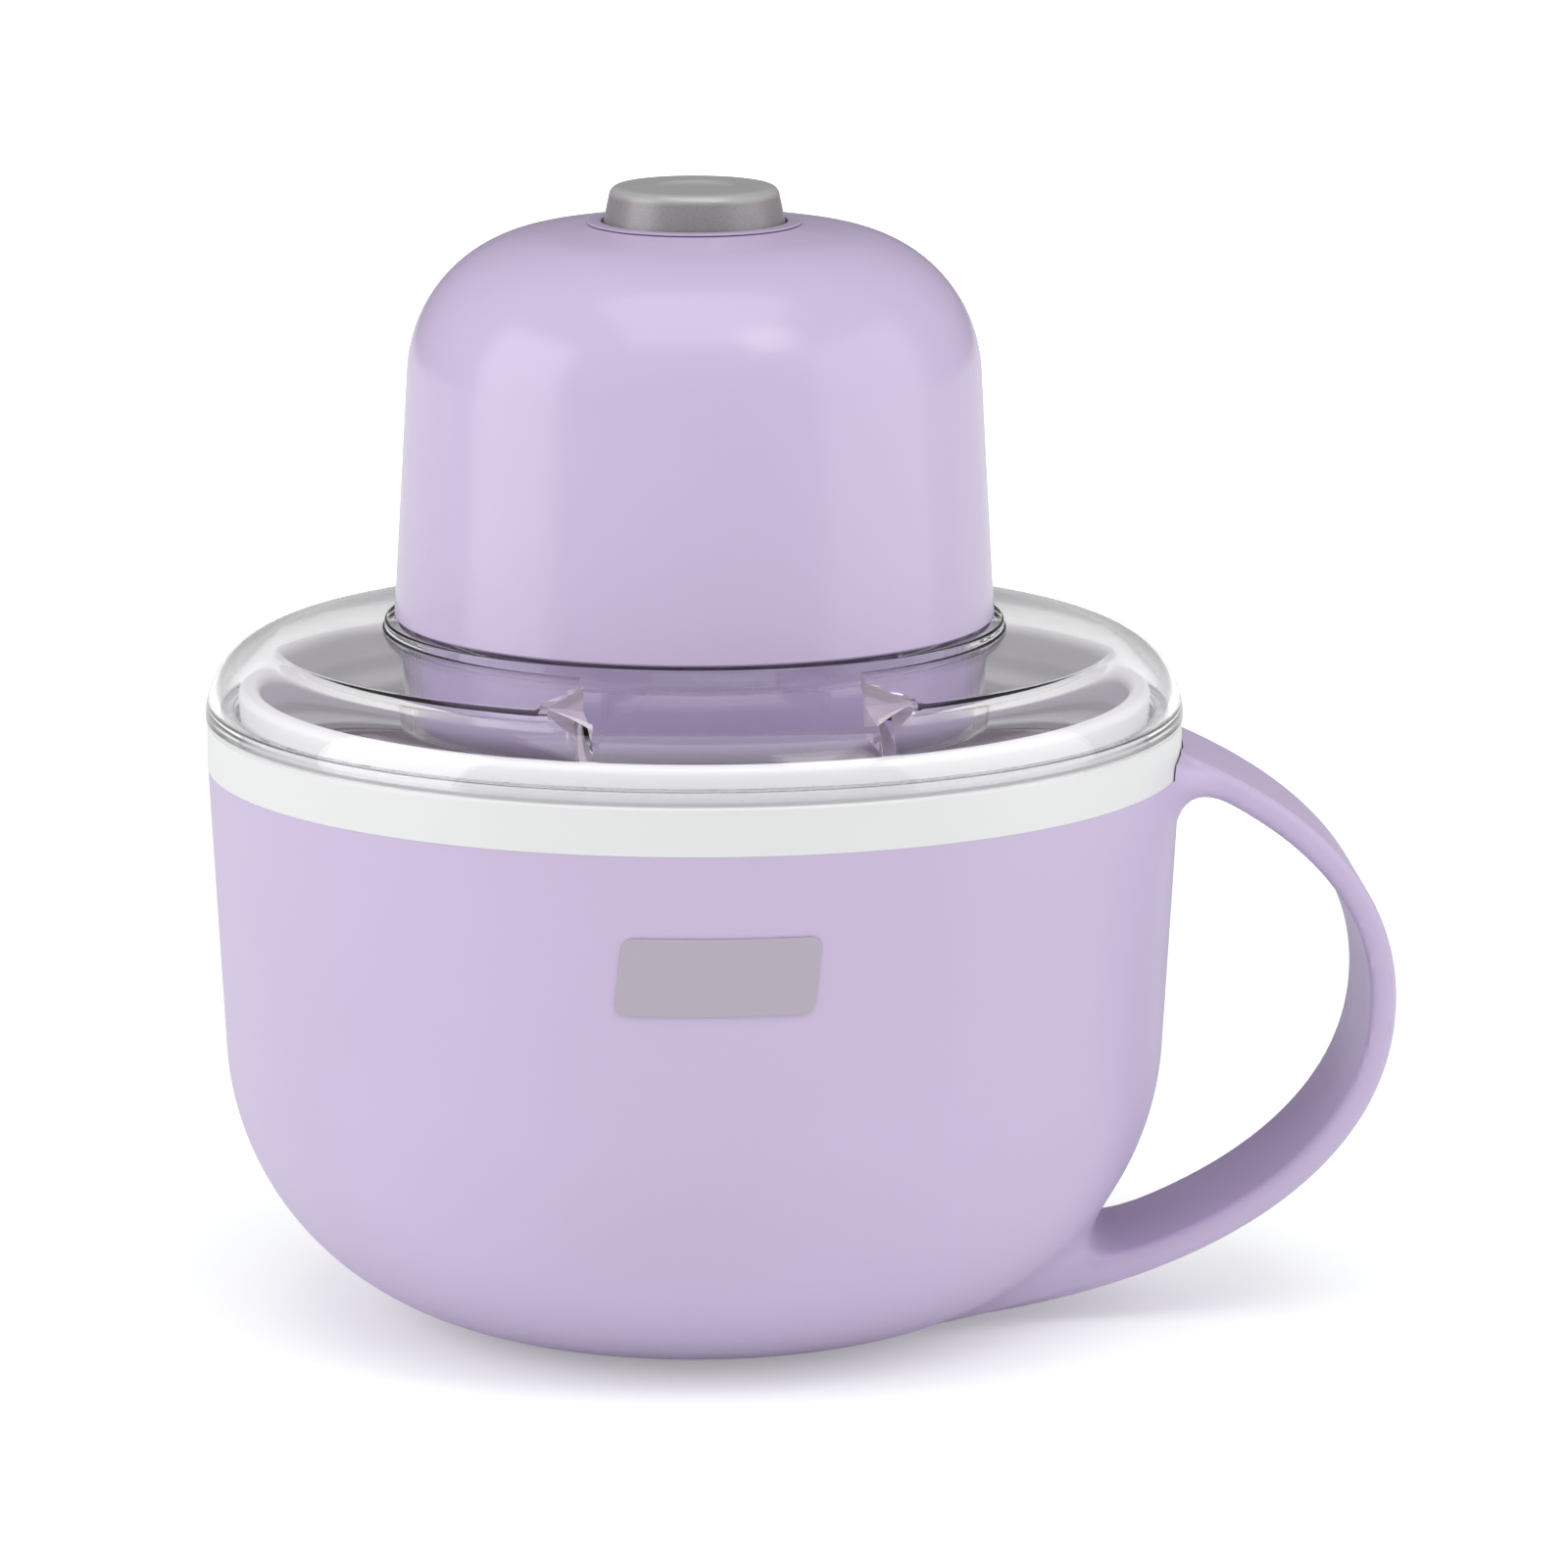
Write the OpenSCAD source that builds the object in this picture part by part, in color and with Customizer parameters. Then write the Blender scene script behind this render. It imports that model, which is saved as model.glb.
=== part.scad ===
// Mug-shaped ice cream maker: freezer bowl in a mug shell, clear lid with a chute, motor head with paddle.
// Millimetres. +Z is up, the handle points to +X and the chute to -Y.
// The origin is the centre of the foot pad's underside, on the mug's axis.

/* [Mug] */
// Outer radius of the mug shell at its top edge
mug_top_r = 74.7; // [62:0.1:90]
// Height of the mug shell's top edge
mug_top_z = 86.5; // [76:0.1:102]
// Lean of the mug's side, degrees
mug_taper = 3.2; // [1:0.1:5]
// Radius of the flat middle of the mug's base
mug_flat_r = 27.2; // [26:0.1:34]
// Wall of the mug shell
mug_wall = 2.2; // [1.6:0.1:3]
// Thickness of the mug shell's base
mug_base_t = 2.6; // [2.2:0.1:4]
// Radius of the foot pad
pad_r = 26; // [20:0.5:26]
// Thickness of the foot pad
pad_t = 1.8; // [1.4:0.1:2.2]
// Height of the mug shell's base above the surface it stands on
pad_proud = 0.6; // [0.4:0.1:1]
// Width of the badge on the front
badge_w = 30.6; // [20:0.1:40]
// Height of the badge on the front
badge_h = 11.8; // [8:0.1:16]
// Height of the badge's centre
badge_z = 68.3; // [60:0.1:74]

/* [Handle] */
// Width of the handle ribbon
handle_w = 30; // [22:0.5:36]
// Thickness of the handle ribbon
handle_t = 4; // [3:0.1:5]
// Reach of the handle past the mug's top edge
handle_reach = 32.6; // [26:0.1:44]
// Height of the handle's outermost point
handle_mid_z = 50.5; // [44:0.5:56]

/* [Freezer bowl] */
// Air gap between the mug shell and the bowl, measured at the side
bowl_air_gap = 2; // [1:0.1:3]
// Wall of the freezer bowl's outer shell
bowl_wall = 1.8; // [1.4:0.1:2.4]
// Thickness of the freezing gel
gel_t = 7.6; // [5:0.1:10]
// Wall of the bowl's liner
liner_wall = 1.2; // [0.8:0.1:2]
// Height of the white rim band
rim_h = 7.3; // [5:0.1:9]
// Amount by which the rim band stands out past the mug shell
rim_proud = 0.1; // [0:0.05:0.4]
// Thickness of the rim plate
rim_plate_t = 2.4; // [1.8:0.1:3]
// Depth of the recess that takes the lid's lip
rim_recess = 3.2; // [2.4:0.1:4]
// Width of the rim plate, from the rim band to the bowl's liner
rim_plate_w = 11; // [8:0.1:16]
// Height of the bowl's upstanding mouth above the rim band
mouth_h = 4.9; // [1:0.1:6]
// Wall of the bowl's upstanding mouth
mouth_wall = 3.4; // [2:0.1:4]

/* [Lid] */
// Amount by which the lid stands out past the rim band
lid_proud = 0.2; // [0:0.05:0.5]
// Height of the lid from the rim to its collar's foot
lid_h = 13.8; // [11:0.1:18]
// Radius of the lid's rounded shoulder
lid_shoulder_r = 11.5; // [7:0.1:12]
// Slope of the lid's top, degrees
lid_slope = 6; // [3:0.5:9]
// Wall of the lid
lid_wall = 2.2; // [1.6:0.1:2.8]
// Height of the collar lip above the lid's top
collar_lip_h = 1.5; // [1:0.1:3]
// Width of the collar lip past the motor housing
collar_lip_w = 1.5; // [1:0.1:2.5]
// Turn of the chute from the front, degrees
chute_angle = 2.5; // [-20:0.5:20]
// Inside width of the chute
chute_w = 42; // [32:0.5:46]
// Distance from the lid's edge to the chute's front wall
chute_inset = 5.5; // [5:0.1:9]
// Reach of the flared mouth past each side of the chute
chute_flare = 6.5; // [3:0.1:8]
// Wall of the chute
chute_wall = 2.2; // [1.6:0.1:2.8]

/* [Motor head] */
// Outer radius of the motor housing at its foot
dome_r = 45.95; // [43:0.05:50]
// Height of the motor housing
dome_h = 61; // [59:0.1:75]
// Lean of the motor housing's side, degrees
dome_taper = 3.2; // [1:0.1:4]
// Radius of the motor housing's rounded shoulder
dome_corner_r = 22.7; // [18:0.1:24]
// Radius of the slightly domed crown
dome_crown_r = 170; // [120:1:300]
// Wall of the motor housing
dome_wall = 2.4; // [1.8:0.1:3]
// Depth of the housing base below the collar lip
spigot_depth = 15.7; // [13:0.1:17]
// Wall of the housing base
spigot_wall = 2.2; // [1.8:0.1:2.6]

/* [Button] */
// Radius of the push button at the crown
button_r = 13.9; // [11:0.1:16.7]
// Height of the push button above the crown
button_h = 5.4; // [4:0.1:8]
// Travel of the push button
button_travel = 1.6; // [1:0.1:1.8]
// Width of the bezel ring
bezel_w = 1.2; // [0.8:0.1:2]

/* [Gearbox] */
// Module of the two fast gear pairs
fast_module = 0.6; // [0.5:0.05:0.65]
// Module of the slow gear pair
slow_module = 0.8; // [0.7:0.05:0.85]
// Radius of the output shaft
shaft_r = 4; // [3:0.1:4.4]
// Radius of the gear axles
axle_r = 1.5; // [1:0.1:1.6]
// Width across the flats of the drive square
drive_square = 5.4; // [4:0.1:5.6]
// Running clearance of shafts and axles, on the radius
running_gap = 0.05; // [0.02:0.01:0.1]

/* [Paddle] */
// Gap between the paddle's edge and the bowl's liner
paddle_gap = 1.5; // [1:0.1:4]
// Thickness of the paddle's blades
blade_t = 2.4; // [1.8:0.1:4]
// Width of the scraping blade
blade_w = 7; // [5:0.1:10]
// Radius of the paddle's hub
hub_r = 7; // [6:0.1:9]

/* [Motor] */
// Radius of the motor can
motor_r = 16.5; // [12:0.1:17]
// Length of the motor can
motor_len = 21.6; // [18:0.1:24]

/* [Cord gland] */
// Radius of the hole for the cord
gland_bore_r = 3.1; // [2.5:0.05:4]
// Height of the cord gland
gland_z = 126; // [124:0.5:130]

/* [Hidden] */
$fn = 96;

seat_gap = 0.3;    // between curved faces that only lie near each other
skin_gap = 0.2;    // between the gel and the walls round it
arc_steps = 14;    // chords in a quarter of a rounded outline
cut = 1;           // how far a cutting shape runs past the face it cuts

lavender = [0.77, 0.71, 0.85];
bowl_white = [0.93, 0.93, 0.94];
clear_grey = [0.85, 0.85, 0.9, 0.35];
button_grey = [0.62, 0.61, 0.64];
steel = [0.72, 0.73, 0.75];
gear_white = [0.9, 0.88, 0.82];

// Points on an arc about [cx, cy], from angle a0 to a1
function arc(cx, cy, r, a0, a1, n = arc_steps) =
    [for (i = [0:n]) let (a = a0 + (a1 - a0) * i / n) [cx + r * cos(a), cy + r * sin(a)]];

// Cubic curve through p0 and p3, pulled towards p1 and p2
function curve_point(p0, p1, p2, p3, t) =
    pow(1 - t, 3) * p0 + 3 * pow(1 - t, 2) * t * p1 + 3 * (1 - t) * t * t * p2 + pow(t, 3) * p3;
function curve_slope(p0, p1, p2, p3, t) =
    3 * pow(1 - t, 2) * (p1 - p0) + 6 * (1 - t) * t * (p2 - p1) + 3 * t * t * (p3 - p2);
// The same curve moved sideways by d, to its right
function curve_side(p0, p1, p2, p3, t, d) =
    let (s = curve_slope(p0, p1, p2, p3, t))
    curve_point(p0, p1, p2, p3, t) + d * [s[1], -s[0]] / norm(s);

// ---- Cup outlines: every wall of the mug is the outer surface moved inwards by w ----

mug_corner_r = (mug_top_r - mug_flat_r - mug_top_z * tan(mug_taper))
    / (cos(mug_taper) - (1 - sin(mug_taper)) * tan(mug_taper));
function cup_r(w, z) = z > mug_corner_r * (1 - sin(mug_taper))
    ? mug_top_r - w / cos(mug_taper) - (mug_top_z - z) * tan(mug_taper)
    : mug_flat_r + sqrt(max(0, pow(mug_corner_r - w, 2) - pow(mug_corner_r - z, 2)));
function cup_curve(w, floor_z, top_z) = concat(
    arc(mug_flat_r, mug_corner_r, mug_corner_r - w,
        -asin((mug_corner_r - floor_z) / (mug_corner_r - w)), -mug_taper),
    [[cup_r(w, top_z), top_z]]);

module cup_solid(w, floor_z, top_z) {
    rotate_extrude() polygon(concat([[0, floor_z]], cup_curve(w, floor_z, top_z), [[0, top_z]]));
}

// The same for the leaning side alone, between two heights
module side_solid(w, z0, z1) {
    rotate_extrude() polygon([[0, z0], [cup_r(w, z0), z0], [cup_r(w, z1), z1], [0, z1]]);
}

// Flat ring or disc: a rectangle turned about the axis
module ring(r_in, r_out, z0, z1) {
    rotate_extrude() translate([r_in, z0]) square([r_out - r_in, z1 - z0]);
}

// ---- Heights and radii of the mug and bowl ----

shell_base_z = pad_proud;
shell_floor_z = shell_base_z + mug_base_t;
pad_top_z = pad_t;
bowl_w = mug_wall + bowl_air_gap;
bowl_foot_h = 1.2;
bowl_floor_z = shell_floor_z + bowl_foot_h;
bowl_inside_z = bowl_floor_z + bowl_wall;
liner_w = bowl_w + bowl_wall + gel_t + 2 * skin_gap;
liner_under_z = bowl_inside_z + gel_t + 2 * skin_gap;
liner_floor_z = liner_under_z + liner_wall;
liner_inner_w = liner_w + liner_wall;
rim_r = mug_top_r + rim_proud;
rim_top_z = mug_top_z + rim_h;
rim_plate_z = rim_top_z - rim_recess - rim_plate_t;
rim_plate_top_z = rim_plate_z + rim_plate_t;
rim_band_in_r = mug_top_r - mug_wall;
rim_liner_r = rim_band_in_r - rim_plate_w;
lip_out_r = rim_band_in_r - 0.4;
lip_in_r = lip_out_r - 1.7;
mouth_out_r = lip_in_r - 0.9;
mouth_in_r = mouth_out_r - mouth_wall;
mouth_top_z = rim_top_z + mouth_h;
bowl_top_z = rim_plate_z;
flange_t = liner_wall;
gel_top_z = bowl_top_z - flange_t - 3;
plug_r = 3.9;
plug_head_r = 5.5;
plug_head_t = 1;
plug_len = 3;
plug_top_z = bowl_floor_z + plug_len;

// ---- Handle outline ----

handle_out_x = mug_top_r + handle_reach;
handle_start = [mug_top_r - 2.2, mug_top_z + 3.6];
handle_pull_1 = [mug_top_r + 16.8, mug_top_z - 4.2];
handle_pull_2 = [handle_out_x, handle_mid_z + 19.8];
handle_mid = [handle_out_x, handle_mid_z];
handle_pull_3 = [handle_out_x, handle_mid_z - 21.5];
handle_pull_4 = [handle_out_x - 18.8, 12.5];
handle_low = [mug_flat_r + 30.8, 4.6];
handle_pull_5 = [mug_flat_r + 22.8, 2.55];
handle_pull_6 = [mug_flat_r + 13, shell_base_z + 0.1];
handle_end = [mug_flat_r + 3, shell_base_z + 0.1];
handle_steps = 10;

function handle_edge(d) = concat(
    [for (i = [0:handle_steps])
        curve_side(handle_start, handle_pull_1, handle_pull_2, handle_mid, i / handle_steps, d)],
    [for (i = [1:handle_steps])
        curve_side(handle_mid, handle_pull_3, handle_pull_4, handle_low, i / handle_steps, d)],
    [for (i = [1:handle_steps - 4])
        curve_side(handle_low, handle_pull_5, handle_pull_6, handle_end, i / (handle_steps - 4), d)]);
function backwards(p) = [for (i = [len(p) - 1:-1:0]) p[i]];

module handle_ribbon() {
    rotate([90, 0, 0])
        linear_extrude(height = handle_w, center = true)
            polygon(concat(handle_edge(0), backwards(handle_edge(handle_t))));
}

// ---- Mug body ----

module mug_shell() {
    color(lavender) difference() {
        union() {
            cup_solid(0, shell_base_z, mug_top_z);
            difference() {
                handle_ribbon();
                translate([0, 0, mug_top_z]) cylinder(r = rim_r + seat_gap, h = 2 * rim_h);
            }
        }
        cup_solid(mug_wall, shell_floor_z, mug_top_z + cut);
        translate([0, 0, shell_base_z - cut])
            cylinder(r = pad_r + skin_gap, h = cut + pad_top_z - shell_base_z);
    }
}

module foot_pad() {
    color([0.25, 0.25, 0.27]) cylinder(r = pad_r, h = pad_top_z);
}

// Thin plain patch that follows the mug's side
badge_t = 0.3;
badge_lift = 0.05;
badge_lean = 1.2;
badge_round = 1.8;
module badge() {
    color([0.55, 0.53, 0.6]) intersection() {
        difference() {
            side_solid(-badge_t - badge_lift, badge_z - badge_h, badge_z + badge_h);
            side_solid(-badge_lift, badge_z - badge_h - cut, badge_z + badge_h + cut);
        }
        rotate([90, 0, 0]) linear_extrude(height = 2 * mug_top_r) translate([0, badge_z])
            offset(r = badge_round) offset(delta = -badge_round) polygon([
                [-badge_w / 2, -badge_h / 2], [badge_w / 2 - badge_lean, -badge_h / 2],
                [badge_w / 2, badge_h / 2], [badge_lean - badge_w / 2, badge_h / 2]]);
    }
}

// The skirt of the rim hangs inside the mug, and its mouth stands up inside the lid
skirt_foot_z = mug_top_z - 5.5;
skirt_out_r = cup_r(mug_wall, skirt_foot_z) - seat_gap;
skirt_in_r = cup_r(bowl_w, bowl_top_z) + seat_gap;
module bowl_rim() {
    color(bowl_white) rotate_extrude() polygon([
        [rim_liner_r, rim_plate_z], [skirt_in_r, rim_plate_z], [skirt_in_r, skirt_foot_z],
        [skirt_out_r, skirt_foot_z], [skirt_out_r, mug_top_z], [rim_r, mug_top_z],
        [rim_r, rim_top_z], [rim_band_in_r, rim_top_z], [rim_band_in_r, rim_plate_top_z],
        [mouth_out_r, rim_plate_top_z], [mouth_out_r, mouth_top_z], [mouth_in_r, mouth_top_z],
        [mouth_in_r, rim_plate_top_z], [rim_liner_r, rim_plate_top_z]]);
}

module bowl_outer() {
    color(bowl_white) difference() {
        union() {
            cup_solid(bowl_w, bowl_floor_z, bowl_top_z);
            ring(pad_r - 4, pad_r, shell_floor_z, bowl_floor_z + bowl_wall / 2);
        }
        cup_solid(bowl_w + bowl_wall, bowl_inside_z, bowl_top_z + cut);
        translate([0, 0, bowl_floor_z - cut]) cylinder(r = plug_r, h = bowl_wall + 2 * cut);
    }
}

module bowl_liner() {
    color([0.8, 0.81, 0.82]) union() {
        difference() {
            cup_solid(liner_w, liner_under_z, bowl_top_z);
            cup_solid(liner_inner_w, liner_floor_z, bowl_top_z + cut);
        }
        ring(cup_r(liner_w, bowl_top_z) - liner_wall / 2, cup_r(bowl_w + bowl_wall, bowl_top_z) - seat_gap,
            bowl_top_z - flange_t, bowl_top_z);
    }
}

module coolant_gel() {
    color([0.55, 0.75, 0.9]) difference() {
        cup_solid(bowl_w + bowl_wall + skin_gap, bowl_inside_z + skin_gap, gel_top_z);
        cup_solid(liner_w - skin_gap, liner_under_z - skin_gap, gel_top_z + cut);
        translate([0, 0, bowl_inside_z])
            cylinder(r = plug_r + skin_gap, h = plug_top_z - bowl_inside_z + skin_gap);
    }
}

module fill_plug() {
    color([0.3, 0.3, 0.32]) union() {
        translate([0, 0, bowl_floor_z - plug_head_t]) cylinder(r = plug_head_r, h = plug_head_t);
        translate([0, 0, bowl_floor_z - plug_head_t / 2])
            cylinder(r = plug_r - 0.02, h = plug_len + plug_head_t / 2);
    }
}

// ---- Lid ----

lid_r = rim_r + lid_proud;
chute_front_r = lid_r - chute_inset;
lid_base_z = rim_top_z;
collar_top_z = lid_base_z + lid_h + collar_lip_h;
collar_out_r = dome_r + collar_lip_w;
spigot_r = dome_r - dome_wall - 1.55;
collar_in_r = spigot_r + 0.4;
collar_wall = 2.2;
collar_foot_z = collar_top_z - spigot_depth + 0.6;
gasket_t = 1.3;
gasket_under_z = rim_plate_top_z + seat_gap;
lip_under_z = gasket_under_z + gasket_t;
lid_flange_t = 1.8;

// Outline of the lid's top, moved inwards by w, from its foot to radius r_end
shoulder_centre_r = lid_r - lid_shoulder_r;
shoulder_centre_z = lid_base_z + lid_h - lid_shoulder_r * cos(lid_slope)
    - (shoulder_centre_r + lid_shoulder_r * sin(lid_slope) - collar_out_r) * tan(lid_slope);
function lid_curve(w, foot_z, r_end) =
    let (shoulder = arc(shoulder_centre_r, shoulder_centre_z, lid_shoulder_r - w, 0, 90 - lid_slope))
    let (top = shoulder[arc_steps])
    concat([[lid_r - w, foot_z]], shoulder, [[r_end, top[1] + (top[0] - r_end) * tan(lid_slope)]]);

module lid_solid(w, foot_z) {
    rotate_extrude() polygon(concat([[0, foot_z]], lid_curve(w, foot_z, 0)));
}

chute_back_r = collar_out_r - 0.6;
chute_foot_z = mouth_top_z + 0.8;
chute_mid_r = (chute_back_r + chute_front_r) / 2;
chute_corner_y = sqrt(pow(chute_front_r, 2) - pow(chute_w / 2, 2));
lid_top_z = lid_base_z + lid_h;

// Side walls of the chute; the lid's own shoulder closes its front
module chute_walls() {
    for (side = [-1, 1])
        translate([side * (chute_w + chute_wall) / 2 - chute_wall / 2, -lid_r, chute_foot_z])
            cube([chute_wall, lid_r - chute_back_r, collar_top_z - chute_foot_z]);
}
// The opening runs from the collar to an arc, where its edge is cut nearly square to the shoulder
front_lean = tan(30);
front_edge_z = shoulder_centre_z
    + sqrt(pow(lid_shoulder_r, 2) - pow(max(0, chute_front_r - shoulder_centre_r), 2));
module chute_opening() {
    difference() {
        intersection() {
            translate([-chute_w / 2, -lid_r, chute_foot_z])
                cube([chute_w, lid_r, lid_top_z]);
            translate([0, 0, chute_foot_z])
                cylinder(r1 = chute_front_r - (front_edge_z - chute_foot_z) * front_lean,
                    r2 = chute_front_r + (collar_top_z - front_edge_z) * front_lean,
                    h = collar_top_z - chute_foot_z);
        }
        cylinder(r = collar_out_r, h = 2 * lid_top_z);
    }
}
// At each side the mouth opens to a point, and its floor rises towards that point
flare_depth = 2.6;
flare_drop = 1.5;
flare_rise = atan2(flare_depth, chute_flare);
module flare(grow) {
    for (side = [0, 1]) mirror([side, 0, 0]) intersection() {
        translate([0, 0, chute_foot_z]) linear_extrude(height = lid_top_z) polygon([
            [chute_w / 2 - cut, grow - chute_back_r], [chute_w / 2, grow - chute_back_r],
            [chute_w / 2 + chute_flare + 2 * grow, -chute_mid_r],
            [chute_w / 2, -chute_corner_y - grow], [chute_w / 2 - cut, -chute_corner_y - grow]]);
        translate([chute_w / 2, -lid_r, lid_top_z - flare_depth - flare_drop - grow])
            rotate([0, -flare_rise, 0]) translate([-2 * cut, 0, 0]) cube([3 * chute_flare, lid_r, lid_h]);
    }
}

module lid() {
    color(clear_grey) difference() {
        union() {
            difference() {
                lid_solid(0, lid_base_z);
                lid_solid(lid_wall, lid_base_z - cut);
            }
            ring(lip_in_r, lid_r - lid_wall / 2, lid_base_z, lid_base_z + lid_flange_t);
            ring(lip_in_r, lip_out_r, lip_under_z, lid_base_z + lid_flange_t / 2);
            ring(collar_in_r, collar_in_r + collar_wall, collar_foot_z, collar_top_z);
            ring(collar_in_r, collar_out_r, lid_top_z - lid_wall, collar_top_z);
            intersection() {
                rotate([0, 0, chute_angle]) union() {
                    chute_walls();
                    flare(chute_wall);
                }
                lid_solid(lid_wall / 2, lid_base_z);
            }
        }
        rotate([0, 0, chute_angle]) {
            chute_opening();
            flare(0);
        }
        cylinder(r = collar_in_r, h = 2 * collar_top_z);
    }
}

module lid_gasket() {
    color([0.9, 0.9, 0.9]) ring(lip_in_r, lip_out_r, gasket_under_z, lip_under_z);
}

// ---- Motor head ----

dome_foot_z = collar_top_z + seat_gap;
dome_top_z = dome_foot_z + dome_h;
crown_centre_z = dome_top_z - dome_crown_r;
// Centre of the shoulder arc, which touches both the leaning side and the crown
corner_a = dome_r - (crown_centre_z - dome_foot_z) * tan(dome_taper) - dome_corner_r / cos(dome_taper);
corner_t = tan(dome_taper);
corner_d = dome_crown_r - dome_corner_r;
corner_u = (corner_a * corner_t + sqrt(pow(corner_a * corner_t, 2)
    - (1 + corner_t * corner_t) * (corner_a * corner_a - corner_d * corner_d))) / (1 + corner_t * corner_t);
corner_r = corner_a - corner_u * corner_t;
corner_z = crown_centre_z + corner_u;
crown_angle = atan2(corner_u, corner_r);

function dome_side_r(w, z) = dome_r - w / cos(dome_taper) - (z - dome_foot_z) * tan(dome_taper);
function dome_curve(w, foot_z) = concat(
    [[dome_side_r(w, foot_z), foot_z]],
    arc(corner_r, corner_z, dome_corner_r - w, dome_taper, crown_angle),
    arc(0, crown_centre_z, dome_crown_r - w, crown_angle + (90 - crown_angle) / 5, 90, 4));

module dome_solid(w, foot_z) {
    rotate_extrude() polygon(concat([[0, foot_z]], dome_curve(w, foot_z)));
}

bezel_in_r = button_r + seat_gap;
bezel_out_r = bezel_in_r + bezel_w;
bezel_lip_w = 1;
crown_edge_z = crown_centre_z + sqrt(pow(dome_crown_r, 2) - pow(bezel_out_r, 2));
bezel_top_z = crown_edge_z + 0.35;
bezel_foot_z = crown_edge_z - dome_wall - 0.8;
flange_gap = 0.3;
button_flange_r = bezel_out_r - 0.2;
button_flange_t = 1.4;
button_flange_z = bezel_foot_z - flange_gap - button_flange_t;
button_top_z = dome_top_z + button_h - 0.4;

screw_ring_r = 36;
screw_angles = [60, 220, 320];
column_r = 3.6;
screw_r = 1.45;
screw_head_r = 2.8;
column_foot_z = dome_foot_z + 2.6;
column_top_z = dome_foot_z + 22;

bracket_t = 1.6;
bracket_r = 31;
bracket_post_r = 3;
bracket_ring_r = 27;
bracket_angles = [30, 150, 270];
bracket_top_z = button_flange_z - 5.2;
bracket_z = bracket_top_z - bracket_t;

module at_ring(angles, r) {
    for (a = angles)
        rotate([0, 0, a]) translate([r, 0, 0]) children();
}

module motor_housing() {
    color(lavender) difference() {
        union() {
            difference() {
                dome_solid(0, dome_foot_z);
                dome_solid(dome_wall, dome_foot_z - cut);
            }
            intersection() {
                dome_solid(dome_wall / 2, dome_foot_z);
                union() {
                    at_ring(screw_angles, screw_ring_r) {
                        translate([0, 0, column_foot_z])
                            cylinder(r = column_r, h = column_top_z - column_foot_z);
                        translate([0, -1.2, column_foot_z])
                            cube([dome_r - screw_ring_r, 2.4, column_top_z - column_foot_z]);
                    }
                    at_ring(bracket_angles, bracket_ring_r)
                        translate([0, 0, bracket_top_z]) cylinder(r = bracket_post_r, h = dome_h);
                }
            }
        }
        translate([0, 0, dome_top_z - 2 * dome_wall]) cylinder(r = bezel_out_r, h = 4 * dome_wall);
        at_ring(screw_angles, screw_ring_r)
            translate([0, 0, column_foot_z - cut]) cylinder(r = screw_r, h = 14 + cut);
        at_ring(bracket_angles, bracket_ring_r)
            translate([0, 0, bracket_top_z - cut]) cylinder(r = screw_r, h = 5 + cut);
        translate([0, 0, gland_z]) rotate([-90, 0, 0]) cylinder(r = gland_body_r + 0.05, h = 2 * dome_r);
    }
}

base_floor_z = collar_top_z - spigot_depth;
base_floor_t = 2.2;
base_inside_z = base_floor_z + base_floor_t;
base_corner_r = 5;
base_flange_r = dome_side_r(dome_wall, dome_foot_z + 3) - 0.1;
base_flange_t = 2.2;
boss_r = 10;
boss_top_z = base_inside_z + 2.8;
bush_r = 6.5;
module housing_base() {
    color(lavender) difference() {
        union() {
            rotate_extrude() polygon(concat(
                [[0, base_floor_z]],
                arc(spigot_r - base_corner_r, base_floor_z + base_corner_r, base_corner_r, -90, 0, 8),
                [[spigot_r, dome_foot_z], [base_flange_r, dome_foot_z],
                    [base_flange_r, dome_foot_z + base_flange_t], [0, dome_foot_z + base_flange_t]]));
        }
        rotate_extrude() polygon(concat(
            [[boss_r, base_inside_z]],
            arc(spigot_r - base_corner_r, base_floor_z + base_corner_r,
                base_corner_r - spigot_wall, -90, 0, 8),
            [[spigot_r - spigot_wall, dome_top_z], [boss_r, dome_top_z]]));
        translate([0, 0, boss_top_z]) cylinder(r = boss_r + 0.01, h = dome_h);
        cylinder(r = bush_r + 0.02, h = dome_top_z);
        at_ring(screw_angles, screw_ring_r)
            translate([0, 0, base_floor_z - cut]) cylinder(r = screw_r + 0.2, h = spigot_depth);
    }
    color(lavender) base_posts();
}

// Hollow posts of the base, through which the housing screws pass
module base_posts() {
    at_ring(screw_angles, screw_ring_r) difference() {
        translate([0, 0, base_inside_z - 0.5])
            cylinder(r = column_r, h = column_foot_z - base_inside_z + 0.5);
        translate([0, 0, base_inside_z - cut]) cylinder(r = screw_r + 0.2, h = dome_h);
    }
}

module button_bezel() {
    color(steel) union() {
        ring(bezel_in_r, bezel_out_r - 0.05, bezel_foot_z, bezel_top_z);
        ring(bezel_in_r, bezel_out_r + bezel_lip_w, crown_edge_z + 0.05, bezel_top_z);
    }
}

// ---- Push button and switch ----

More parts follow.
